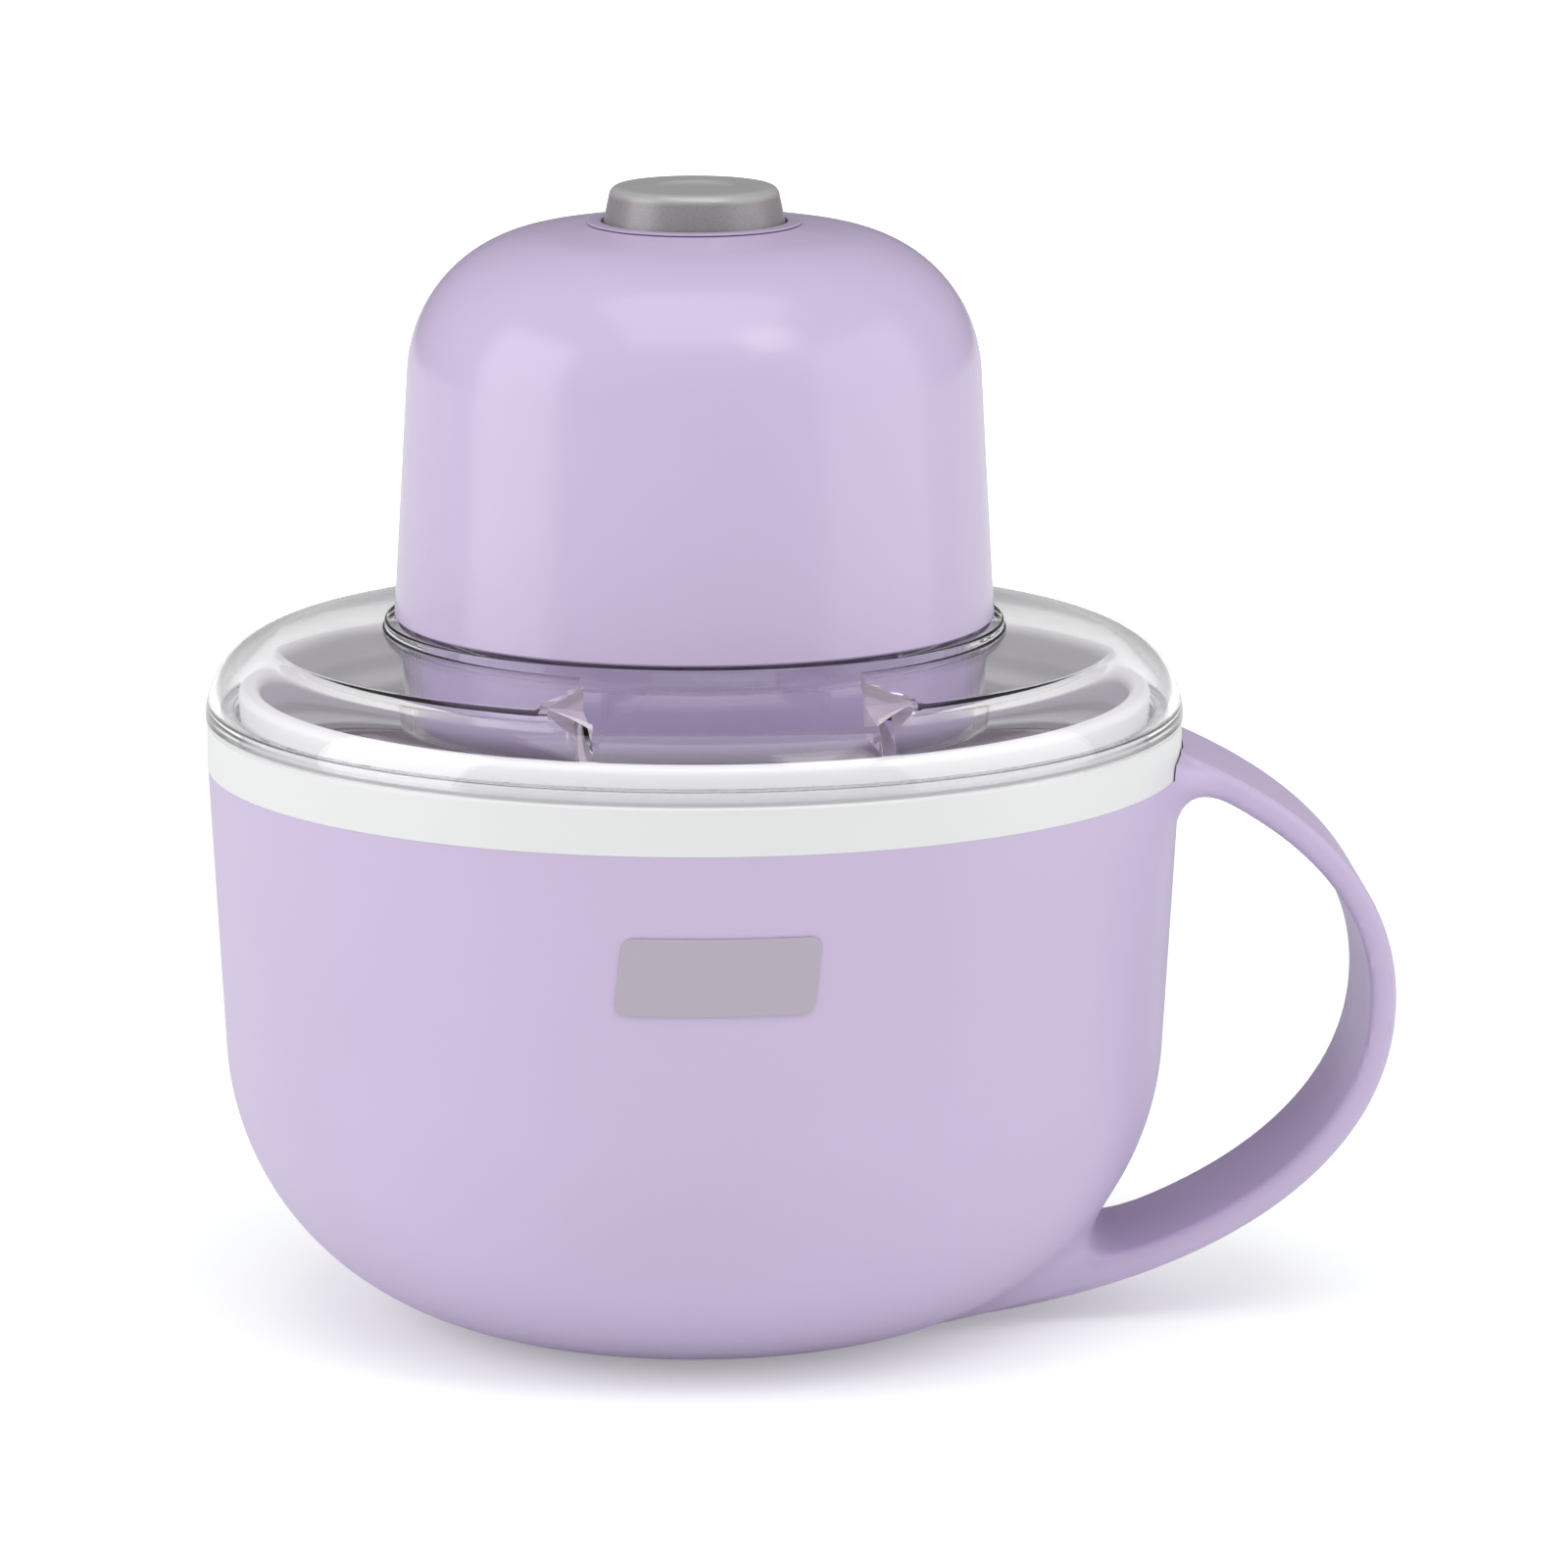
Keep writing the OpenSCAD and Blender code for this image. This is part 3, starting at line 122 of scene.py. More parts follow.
class LidSizes(bpy.types.PropertyGroup):
    """Sizes of the clear lid and its chute"""
    radius: size("Radius", "Outer radius of the lid", 0.075)
    foot: size("Foot", "Height of the lid's lower edge", 0.0938)
    shoulder: size("Shoulder", "Radius of the rounded shoulder", 0.0115)
    slope: angle("Slope", "Slope of the lid's top", 6)
    wall: size("Wall", "Wall of the lid", 0.0022)
    collar_radius: size("Collar radius", "Outer radius of the collar lip", 0.04745)
    collar_inside: size("Collar inside", "Inner radius of the collar", 0.0424)
    collar_foot: size("Collar foot", "Height of the collar's lower edge", 0.094)
    collar_base: size("Collar base", "Height at which the top meets the collar lip", 0.1076)
    collar_top: size("Collar top", "Height of the collar lip", 0.1091)
    chute_width: size("Chute width", "Inside width of the chute", 0.042)
    chute_front: size("Chute front", "Distance from the axis to the chute's front edge", 0.0695)
    chute_back: size("Chute back", "Distance from the axis to the chute's back", 0.04685)
    front_edge: size("Front edge", "Height of the shoulder at the chute's front edge", 0.1038)
    chute_foot: size("Chute foot", "Height of the chute's lower edge", 0.0995)
    chute_turn: angle("Chute turn", "Turn of the chute from the front", 2.5)
    flare: size("Flare", "Reach of the flared mouth past each side", 0.0065)
    flare_depth: size("Flare depth", "Depth of the flared mouth", 0.0026)


class HeadSizes(bpy.types.PropertyGroup):
    """Sizes of the motor head, its button and its cord gland"""
    foot_radius: size("Foot radius", "Outer radius of the housing at its foot", 0.04595)
    foot: size("Foot", "Height of the housing's lower edge", 0.1094)
    height: size("Height", "Height of the housing", 0.061)
    lean: angle("Lean", "Lean of the housing's side", 3.2)
    shoulder: size("Shoulder", "Radius of the rounded shoulder", 0.0227)
    crown: size("Crown", "Radius of the slightly domed crown", 0.170)
    wall: size("Wall", "Wall of the housing", 0.0024)
    spigot_radius: size("Spigot radius", "Radius of the housing base", 0.042)
    spigot_foot: size("Spigot foot", "Height of the housing base's underside", 0.0934)
    button_radius: size("Button radius", "Radius of the button at the crown", 0.0139)
    button_top: size("Button top", "Height of the button's top", 0.1754)
    button_travel: size("Button travel", "How far the button goes down", 0.0016)
    crown_edge: size("Crown edge", "Height of the crown at the bezel", 0.1697)
    gland_height: size("Gland height", "Height of the cord gland", 0.126)
    gland_bore: size("Gland bore", "Radius of the hole for the cord", 0.0031)


class Finishes(bpy.types.PropertyGroup):
    """Colours of the visible materials"""
    lavender: colour("Lavender", "Mug and motor housing", (0.535, 0.442, 0.64))
    # painted shade: the housing base is the housing's lavender made darker, for the shade it sits in under
    # the lid
    lavender_painted_shade: colour("Deep lavender", "Housing base", (0.50, 0.40, 0.65))
    rim_white: colour("Rim white", "Rim band of the bowl", (0.71, 0.71, 0.72))
    # painted light: the mouth under the lid is the rim's white made lighter, for the lamp light that the lid
    # keeps off it
    mouth_painted_light: colour("Mouth white", "Bowl's mouth under the lid", (0.93, 0.93, 0.94))
    # painted reflection: the lavender tint on the clear mouth's faces stands in for the lavender parts seen
    # in them
    cut_edge_painted_reflection: colour("Cut edge", "Satin sides of the chute's mouth", (0.72, 0.60, 0.74))
    # painted shade: the front cut of the clear lid gets this dark colour, standing in for the dark line seen
    # along that edge
    front_edge: colour("Front edge", "Satin front edge of the chute's mouth", (0.27, 0.20, 0.36))
    badge: colour("Badge", "Plain badge", (0.43, 0.378, 0.46))
    # painted light: the button's top gets a lighter colour than its side, for the light that falls on it from
    # above
    button: colour("Button", "Side of the push button", (0.30, 0.28, 0.295))
    button_top: colour("Button top", "Top of the push button", (0.47, 0.47, 0.475))
    paddle: colour("Paddle", "Paddle", (0.80, 0.80, 0.83))
    floor: colour("Floor", "Floor", (0.92, 0.955, 0.915))


class StageSettings(bpy.types.PropertyGroup):
    """Camera and lights"""
    distance: number("Distance", "Camera distance", 1.4, unit="LENGTH")
    aim_height: number("Aim height", "Height that the camera looks at", 0.08, unit="LENGTH")
    elevation: angle("Elevation", "Height of the camera above the horizon", 11.3)
    turn: angle("Turn", "Turn of the camera from the front", -2.8)
    lens: number("Lens", "Focal length on a 36 mm frame", 208.85)
    shift_x: number("Shift across", "Camera shift across", 0.0572)
    shift_y: number("Shift up", "Camera shift up", 0.0109)
    key: number("Key", "Power of the left soft box", 3.5, unit="POWER")
    fill: number("Fill", "Power of the right soft box", 2.4, unit="POWER")
    top: number("Top", "Power of the overhead soft box", 4.1, unit="POWER")
    front: number("Front", "Power of the small front soft box", 1.0, unit="POWER")
    ambient: number("Ambient", "Strength of the light from all round", 0.60)
    bounce: number("Bounce", "Extra light from the floor", 0.35)
    mirrored: number("Mirrored", "Strength of the surroundings in reflections", 0.15)


# ---- outlines

def rounded(corners):
    """Points round a closed polygon of (x, y, fillet radius) corners, with the fillets drawn as arcs"""
    points = []
    for i, (x, y, fillet) in enumerate(corners):
        if fillet <= 0:
            points.append((x, y))
            continue
        corner = Vector((x, y))
        to_last = Vector(corners[i - 1][:2]) - corner
        to_next = Vector(corners[(i + 1) % len(corners)][:2]) - corner
        before, after = to_last.normalized(), to_next.normalized()
        half = before.angle(after) / 2
        middle = corner + (before + after).normalized() * fillet / sin(half)
        start = corner + before * fillet / tan(half) - middle
        sweep = start.angle_signed(corner + after * fillet / tan(half) - middle)
        count = max(2, ceil(abs(sweep) / ARC_STEP))
        stand_off = fillet / tan(half) + SUPPORT
        supported = [fillet > EDGE and side.length > 2 * stand_off for side in (to_last, to_next)]
        if supported[0]:
            points.append(tuple(corner + before * stand_off))
        for k in range(count + 1):
            a = atan2(start.y, start.x) - sweep * k / count
            points.append((middle.x + fillet * cos(a), middle.y + fillet * sin(a)))
        if supported[1]:
            points.append(tuple(corner + after * stand_off))
    return points


def mug_corner(mug):
    """Radius of the mug's rounded bottom, which touches both the table plane and the leaning side"""
    return (mug.top_radius - mug.flat_radius - mug.top_height * tan(mug.lean)) / (
        cos(mug.lean) - (1 - sin(mug.lean)) * tan(mug.lean))


def mug_side(mug, height):
    return mug.top_radius - (mug.top_height - height) * tan(mug.lean)


def cup_outline(mug, inwards, floor, top):
    """Closed outline of the mug's outer shape, moved inwards, between two heights"""
    r = mug_corner(mug)
    low = asin((r - floor) / (r - inwards))
    count = ceil((low - mug.lean) / ARC_STEP)
    arc = [low + (mug.lean - low) * k / count for k in range(count + 1)]
    side = mug_side(mug, top) - inwards / cos(mug.lean)
    r_in, flat = r - inwards, mug.flat_radius
    return [(0, floor)] + [(flat + r_in * cos(a), r - r_in * sin(a)) for a in arc] + [(side, top), (0, top)]


def dome_arcs(head, inwards, edge):
    """The motor housing's side, shoulder and crown, moved inwards, up to the radius edge"""
    centre = head.foot + head.height - head.crown
    t = tan(head.lean)
    a = head.foot_radius - (centre - head.foot) * t - head.shoulder / cos(head.lean)
    d = head.crown - head.shoulder
    u = (a * t + sqrt((a * t) ** 2 - (1 + t * t) * (a * a - d * d))) / (1 + t * t)
    x, z = a - u * t, centre + u
    turn_to, end = atan2(u, x), acos(edge / (head.crown - inwards))
    arcs = [(x, z, head.shoulder - inwards, head.lean + (turn_to - head.lean) * k / 20) for k in range(21)]
    arcs += [(0, centre, head.crown - inwards, turn_to + (end - turn_to) * k / 6) for k in range(1, 7)]
    return [(x + radius * cos(b), z + radius * sin(b)) for x, z, radius, b in arcs]


# ---- modelling helpers

def clear_selection():
    if bpy.context.object and bpy.context.object.mode != "OBJECT":
        bpy.ops.object.mode_set(mode="OBJECT")
    bpy.ops.object.select_all(action="DESELECT")


def pick(*objects):
    """Selects these objects, with the first one active"""
    clear_selection()
    for o in objects:
        o.select_set(True)
    bpy.context.view_layer.objects.active = objects[0]


def settle(piece, name):
    """Names a piece and moves its place into its mesh"""
    pick(piece)
    bpy.ops.object.transform_apply(location=True, rotation=True, scale=True)
    piece.name = piece.data.name = name
    return piece


def select_all():
    bpy.ops.mesh.select_all(action="SELECT")


def edit(piece):
    """Opens a piece in edit mode, with all of it selected"""
    pick(piece)
    bpy.ops.object.mode_set(mode="EDIT")
    select_all()


def face_outwards():
    """Turns the normals outwards and leaves edit mode"""
    select_all()
    bpy.ops.mesh.normals_make_consistent(inside=False)
    bpy.ops.object.mode_set(mode="OBJECT")


def modify(piece, kind, **settings):
    """Adds a modifier with its settings and applies it"""
    pick(piece)
    bpy.ops.object.modifier_add(type=kind)
    modifier = piece.modifiers[-1]
    for name, value in settings.items():
        setattr(modifier, name, value)
    bpy.ops.object.modifier_apply(modifier=modifier.name)
    return piece


def turned(name, outline, steps=TURN_STEPS, centre=(0, 0, 0), axis=(0, 0, 1)):
    """A solid turned about an axis from its closed outline of (out, along the axis) distances"""
    clear_selection()
    bpy.ops.mesh.primitive_plane_add(size=0.01, location=centre)
    piece = bpy.context.object
    bpy.ops.object.transform_apply(location=True)
    edit(piece)
    bpy.ops.mesh.merge(type="CENTER")
    out, up = Vector((1, 0, 0)), Vector(axis)
    place = outline[0][0] * out + outline[0][1] * up
    bpy.ops.transform.translate(value=place)
    for r, z in outline[1:] + outline[:1]:
        step = r * out + z * up - place
        place = place + step
        bpy.ops.mesh.extrude_region_move(TRANSFORM_OT_translate={"value": step})
    select_all()
    bpy.ops.mesh.spin(steps=steps, angle=2 * pi, center=centre, axis=axis)
    select_all()
    bpy.ops.mesh.remove_doubles(threshold=WELD)
    bpy.ops.mesh.delete_loose()
    face_outwards()
    return settle(piece, name)


def block(low, high):
    """A box between two corners, as a working piece"""
    clear_selection()
    low, high = Vector(low), Vector(high)
    bpy.ops.mesh.primitive_cube_add(size=1, location=(low + high) / 2)
    bpy.context.object.scale = high - low
    return settle(bpy.context.object, "working_block")


def rod(radius, low, high, sides, x=0.0, y=0.0):
    """An upright round rod, as a working piece"""
    clear_selection()
    bpy.ops.mesh.primitive_cylinder_add(
        vertices=sides, radius=radius, depth=high - low, location=(x, y, (low + high) / 2))
    return settle(bpy.context.object, "working_rod")


def combine(piece, tools, operation="DIFFERENCE"):
    """Cuts or joins the tools to the piece with exact booleans, and removes the tools"""
    for tool in tools:
        modify(piece, "BOOLEAN", operation=operation, solver="EXACT", material_mode="TRANSFER", object=tool)
        bpy.data.objects.remove(tool, do_unlink=True)


def soften(piece, width):
    """Small rounding of the sharp edges"""
    modify(piece, "BEVEL", width=width, segments=2, limit_method="ANGLE", angle_limit=radians(35))


def smooth(piece, limit=30):
    pick(piece)
    bpy.ops.object.shade_smooth_by_angle(angle=radians(limit))
    return piece


def copy_of(node, width=0.0):
    """A welded copy of a node, with its edges softened to a width"""
    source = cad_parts[node]
    clear_selection()
    piece = source.copy()
    piece.data = source.data.copy()
    piece.parent = None
    piece.matrix_world = source.matrix_world.copy()
    bpy.context.scene.collection.objects.link(piece)
    piece.hide_set(False)
    settle(piece, node + "_finished")
    edit(piece)
    bpy.ops.mesh.remove_doubles(threshold=WELD)
    bpy.ops.mesh.dissolve_limited(angle_limit=radians(0.5))
    bpy.ops.object.mode_set(mode="OBJECT")
    if width:
        soften(piece, width)
    return smooth(piece)


def dress(piece, material):
    """Gives a piece one material"""
    piece.data.materials.clear()
    piece.data.materials.append(material)
    return piece


def hand_over(piece, material, body, node):
    """Finishes a piece: it gets a material, unless it has its own, rides on a body and stands for a node"""
    if material:
        dress(piece, material)
    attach(piece, body)
    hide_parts(node)


def turned_piece(node, outline, material, body, slot, *turning):
    """A finished piece that is turned from its outline"""
    hand_over(smooth(turned(node + "_finished", outline, *turning)), material, body, node)


# ---- materials

def feed(node, inputs):
    """Gives inputs of a shader node a value or the output that feeds it"""
    for name, value in inputs.items():
        if isinstance(value, bpy.types.NodeSocket):
            node.id_data.links.new(value, node.inputs[name])
        else:
            node.inputs[name].default_value = value


def add_node(tree, kind, inputs, **values):
    node = tree.nodes.new("ShaderNode" + kind)
    for name, value in values.items():
        setattr(node, name, value)
    feed(node, inputs)
    return node


class Shader:
    """A material with a Principled shader and Object coordinates to build on"""

    def __init__(self, name):
        self.material = bpy.data.materials.new(name)
        self.material.use_nodes = True
        self.tree = self.material.node_tree
        self.shader = self.tree.nodes["Principled BSDF"]
        self.coordinates = self.add("TexCoord", {}).outputs["Object"]

    def add(self, kind, inputs, **values):
        return add_node(self.tree, kind, inputs, **values)

    def noise(self, scale, detail, stretch=(1, 1, 1)):
        mapping = self.add("Mapping", {"Vector": self.coordinates, "Scale": stretch})
        inputs = {"Vector": mapping.outputs["Vector"], "Scale": scale, "Detail": detail}
        return self.add("TexNoise", inputs).outputs["Fac"]

    def spread(self, factor, first, last, low=0.0, high=1.0, **values):
        """A value that runs from low to high while the factor runs from first to last"""
        inputs = {"Value": factor, "From Min": first, "From Max": last, "To Min": low, "To Max": high}
        return self.add("MapRange", inputs, **values).outputs["Result"]

    def between(self, noise, low, high):
        return self.spread(noise, 0.3, 0.7, low, high)

    def tint(self, factor, first, second):
        """A mix of two colours, each a plain colour or an output"""
        first, second = [value if isinstance(value, bpy.types.NodeSocket) else (*value, 1)
                         for value in (first, second)]
        node = self.add("Mix", {"Factor": factor, "A": first, "B": second}, data_type="RGBA")
        return node.outputs["Result"]

    def above(self, height, colour, rgb):
        """The colour given below a height, and another one above it, used for painted light on the rim's
        mouth and the button's top
        """
        place = self.add("SeparateXYZ", {"Vector": self.coordinates})
        return self.tint(self.spread(place.outputs["Z"], height - 0.0004, height + 0.0004), colour, rgb)

    def bump(self, height, strength, distance):
        node = self.add("Bump", {"Height": height, "Strength": strength, "Distance": distance})
        self.set(Normal=node.outputs["Normal"])

    def set(self, **inputs):
        feed(self.shader, {name.replace("_", " "): value for name, value in inputs.items()})

    def put_out(self, kind, inputs):
        """Ends the material in a node that mixes or adds to the shader"""
        feed(self.tree.nodes["Material Output"], {"Surface": self.add(kind, inputs).outputs["Shader"]})


def scaled(rgb, factor):
    return tuple(min(1.0, c * factor) for c in rgb)


def plastic(name, rgb, rough=0.35, grain=0.0002, gloss=0.5, split=None):
    """Moulded plastic: faint cloudiness, fine grain and a roughness that wanders a little"""
    s = Shader(name)
    shade = s.tint(s.between(s.noise(22, 2), 0, 1), scaled(rgb, 0.985), scaled(rgb, 1.015))
    # a split paints a second colour above a height; on the rim it is painted light
    if split:
        shade = s.above(split[0], shade, split[1])
    s.set(Base_Color=shade, Roughness=s.between(s.noise(60, 3), rough - 0.03, rough + 0.03),
          IOR=1.5, Specular_IOR_Level=gloss)
    s.bump(s.noise(1500, 2), 0.08, grain)
    return s.material


def metal(name, rgb, rough, stretch=(1, 1, 30)):
    """Machined or rolled metal with a fine directional grain"""
    s = Shader(name)
    grain = s.noise(500, 3, stretch)
    s.set(Base_Color=s.tint(grain, scaled(rgb, 0.9), scaled(rgb, 1.05)), Metallic=1.0,
          Roughness=s.between(grain, rough - 0.06, rough + 0.06))
    s.bump(grain, 0.05, 0.0001)
    return s.material


def metallic_paint_and_painted_light(name, rgb, height, top):
    """Satin grey paint with a metallic sparkle; the lighter colour above a height is painted light on the top
    """
    s = Shader(name)
    flake = s.noise(2500, 1)
    shade = s.tint(s.between(flake, 0, 1), scaled(rgb, 0.93), scaled(rgb, 1.07))
    s.set(Base_Color=s.above(height, shade, top), Roughness=s.between(s.noise(80, 2), 0.38, 0.44),
          Metallic=0.3, Coat_Weight=0.15, Coat_Roughness=0.15)
    s.bump(flake, 0.05, 0.00005)
    return s.material


def rubber(name, rgb):
    s = Shader(name)
    s.set(Base_Color=s.tint(s.noise(200, 3), scaled(rgb, 0.85), scaled(rgb, 1.15)),
          Roughness=s.between(s.noise(90, 2), 0.55, 0.7))
    s.bump(s.noise(1200, 2), 0.2, 0.0002)
    return s.material


def clear_plastic(name, tint=(0.965, 0.955, 0.97), rough=0.02, clarity=1.0):
    """Clear moulded plastic that lets light through to what is under it"""
    s = Shader(name)
    s.bump(s.noise(35, 1), 0.04, 0.0004)
    s.set(Transmission_Weight=clarity, IOR=1.49, Roughness=rough, Base_Color=(*tint, 1))
    path = s.add("LightPath", {}).outputs
    either = s.add("Math", {0: path["Is Shadow Ray"], 1: path["Is Diffuse Ray"]}, operation="MAXIMUM")
    through = s.add("BsdfTransparent", {"Color": (0.97, 0.97, 0.975, 1)}).outputs["BSDF"]
    s.put_out("MixShader", {"Fac": either.outputs[0], 1: s.shader.outputs["BSDF"], 2: through})
    return s.material


# ---- the mug and its handle

def handle_path(mug):
    """Control points, as (x, z), of the three curves along the ribbon's outer edge"""
    x, z, flat = mug.top_radius, mug.top_height, mug.flat_radius
    reach, middle = x + 0.0326, 0.0505
    return [
        [(x - 0.0022, z + 0.0036), (x + 0.0168, z - 0.0042), (reach, middle + 0.0198), (reach, middle)],
        [(reach, middle), (reach, middle - 0.0215), (reach - 0.0188, 0.0125), (flat + 0.0308, 0.0046)],
        [(flat + 0.0308, 0.0046), (flat + 0.0228, 0.00255), (flat + 0.013, 0.0007), (flat + 0.003, 0.0007)],
    ]


def path_samples(pulls, count):
    """Points, outward normals and bends along the cubic pieces"""
    t = np.linspace(0, 1, count)[:, None]
    a, b, c, d = np.array(pulls).transpose(1, 0, 2)[:, :, None]
    place = (1 - t) ** 3 * a + 3 * (1 - t) ** 2 * t * b + 3 * (1 - t) * t * t * c + t ** 3 * d
    slope = 3 * (1 - t) ** 2 * (b - a) + 6 * (1 - t) * t * (c - b) + 3 * t * t * (d - c)
    change = 6 * (1 - t) * (c - 2 * b + a) + 6 * t * (d - 2 * c + b)
    place, slope, change = (values.reshape(-1, 2) for values in (place, slope, change))
    speed = np.linalg.norm(slope, axis=1)
    normals = np.stack([-slope[:, 1], slope[:, 0]], axis=1) / speed[:, None]
    return place, normals, (slope[:, 1] * change[:, 0] - slope[:, 0] * change[:, 1]) / speed ** 3


def cup_distance(mug, p):
    """Distance of each point outside the mug's outer shape"""
    r = np.hypot(p[:, 0], p[:, 1])
    corner = mug_corner(mug)
    s, c = sin(mug.lean), cos(mug.lean)
    side = (r - mug.top_radius) * c - (p[:, 2] - mug.top_height) * s
    u, v = r - mug.flat_radius, p[:, 2] - corner
    arc = np.hypot(u, v) - corner
    shape = np.where(u * s + v * c > 0, side, np.where(u > 0, arc, -p[:, 2]))
    return np.maximum(shape, mug.base_height - p[:, 2])


def ribbon_distance(mug, p, path):
    """Distance of each point outside the handle ribbon, and beyond its outer face"""
    points, normals, bends = path
    flat = p[:, [0, 2]]
    nearest = np.empty(len(p), dtype=int)
    batch = 4000
    for i in range(0, len(p), batch):
        gap = flat[i:i + batch, None, :] - points[None, :, :]
        nearest[i:i + batch] = np.argmin((gap ** 2).sum(axis=2), axis=1)
    gap, out = flat - points[nearest], normals[nearest]
    along = gap[:, 0] * out[:, 1] - gap[:, 1] * out[:, 0]
    beyond = (gap * out).sum(axis=1) + bends[nearest] * along ** 2 / 2
    t, w, e = mug.handle_thickness / 2, mug.handle_width / 2, mug.handle_round
    u = np.abs(beyond + t) - (t - e)
    v = np.abs(p[:, 1]) - (w - e)
    inside = np.minimum(np.maximum(u, v), 0)
    return np.hypot(np.maximum(u, 0), np.maximum(v, 0)) + inside - e, beyond


def ease(x, low, high):
    t = np.clip((x - low) / (high - low), 0, 1)
    return t * t * (3 - 2 * t)


def blended(mug, p, path):
    """Distance outside the mug with its handle blended in, by a fillet that varies round the roots"""
    cup = cup_distance(mug, p)
    ribbon, beyond = ribbon_distance(mug, p, path)
    height, top, least = p[:, 2], mug.top_height, 0.002
    upper = mug.side_blend + (least - mug.side_blend) * ease(height, top, top + 0.006)
    fillet = mug.top_blend + (upper - mug.top_blend) * ease(np.abs(p[:, 1]), 0.008, 0.0155)
    fillet = fillet + (mug.low_blend - fillet) * ease(-height, -0.045, -0.025)
    # the outer faces run into each other flush, so nothing is filled above the ribbon's outer face
    fillet = np.maximum(fillet * (1 - ease(beyond, -0.0015, 0.0)), 1e-5)
    h = np.maximum(fillet - np.abs(cup - ribbon), 0) / fillet
    joined = np.minimum(cup, ribbon) - h * h * fillet / 4
    return np.maximum(joined, mug.base_height - height)


def ribbon_blank(mug, pulls):
    """The handle ribbon before it is blended: a curve given width and thickness"""
    clear_selection()
    bpy.ops.curve.primitive_bezier_curve_add(radius=0.01, location=(0, 0, 0))
    curve = bpy.context.object
    spline = curve.data.splines[0]
    spline.bezier_points.add(len(pulls) - 1)
    knots = [pulls[0][0]] + [piece[3] for piece in pulls]
    for i, (point, knot) in enumerate(zip(spline.bezier_points, knots)):
        point.handle_left_type = point.handle_right_type = "FREE"
        point.co = (*knot, 0)
        point.handle_left = (*(pulls[i - 1][2] if i > 0 else knot), 0)
        point.handle_right = (*(pulls[i][1] if i < len(pulls) else knot), 0)
    curve.data.dimensions = "2D"
    curve.data.fill_mode = "NONE"
    curve.data.resolution_u = 40
    curve.data.extrude = mug.handle_width / 2
    curve.rotation_euler = (radians(90), 0, 0)
    pick(curve)
    bpy.ops.object.convert(target="MESH")
    ribbon = settle(bpy.context.object, "working_ribbon")
    return modify(ribbon, "SOLIDIFY", thickness=mug.handle_thickness, offset=-1)


def fit_to_blend(mug, piece, pulls, rounds):
    """Relaxes the mesh and brings each point onto the blended surface of mug and handle"""
    path = path_samples(pulls, 60)
    mesh = piece.data
    co = np.empty(len(mesh.vertices) * 3)
    mesh.vertices.foreach_get("co", co)
    co = co.reshape(-1, 3)
    edges = np.empty(len(mesh.edges) * 2, dtype=int)
    mesh.edges.foreach_get("vertices", edges)
    edges = edges.reshape(-1, 2)
    count = np.bincount(edges.ravel(), minlength=len(co))[:, None]
    # only the points near the handle need the blend
    near = co[:, 0] > 0.02
    near[near] = ribbon_distance(mug, co[near], path)[0] < 0.014
    step, least_slope, farthest = 2e-5, 0.2, 0.002

    def field(p):
        value = cup_distance(mug, p)
        value[near] = blended(mug, p[near], path)
        return value

    def project(p):
        value = field(p)
        slope = np.empty_like(p)
        for axis in range(3):
            moved = p.copy()
            moved[:, axis] += step
            slope[:, axis] = (field(moved) - value) / step
        length = np.maximum((slope ** 2).sum(axis=1), least_slope)
        return p - slope * np.clip(value / length, -farthest, farthest)[:, None]

    for _ in range(rounds):
        total = np.zeros_like(co)
        np.add.at(total, edges[:, 0], co[edges[:, 1]])
        np.add.at(total, edges[:, 1], co[edges[:, 0]])
        relaxed = project(co + (total / count - co) * 0.5)
        free = relaxed[:, 2] < mug.top_height + 0.005
        co[free] = relaxed[free]
    co[free] = project(project(co))[free]
    mesh.vertices.foreach_set("co", co.ravel())
    mesh.update()


class ICECREAM_OT_mug(bpy.types.Operator):
    """Models the mug with its handle blended into it"""
    bl_idname = "icecream.mug"
    bl_label = "Mug"

    def execute(self, context):
        mug = context.scene.mug_sizes
        top, brim, floor, play = mug.top_height, 0.0055, 0.0026, 0.00025
        body = turned("mug_shell_finished", cup_outline(mug, 0, mug.base_height, top + brim))
        pulls = handle_path(mug)
        pick(body, ribbon_blank(mug, pulls))
        bpy.ops.object.join()
        for rounds in (3, 4):
            modify(body, "REMESH", mode="VOXEL", voxel_size=VOXEL)
            fit_to_blend(mug, body, pulls, rounds)
        cavity = turned("working_cavity", cup_outline(mug, mug.wall, mug.base_height + floor, top + 0.001))
        ring = rod(mug.rim_radius + play, top, top + 0.02, TURN_STEPS)
        recess = rod(mug.pad_radius + 0.0002, -0.002, mug.pad_thickness, TURN_STEPS)
        combine(body, [cavity, ring, recess])
        satin = plastic("lavender_satin", context.scene.finishes.lavender, 0.42, 0.0002)
        hand_over(smooth(body, 35), satin, "mug", "mug_shell")
        return {"FINISHED"}


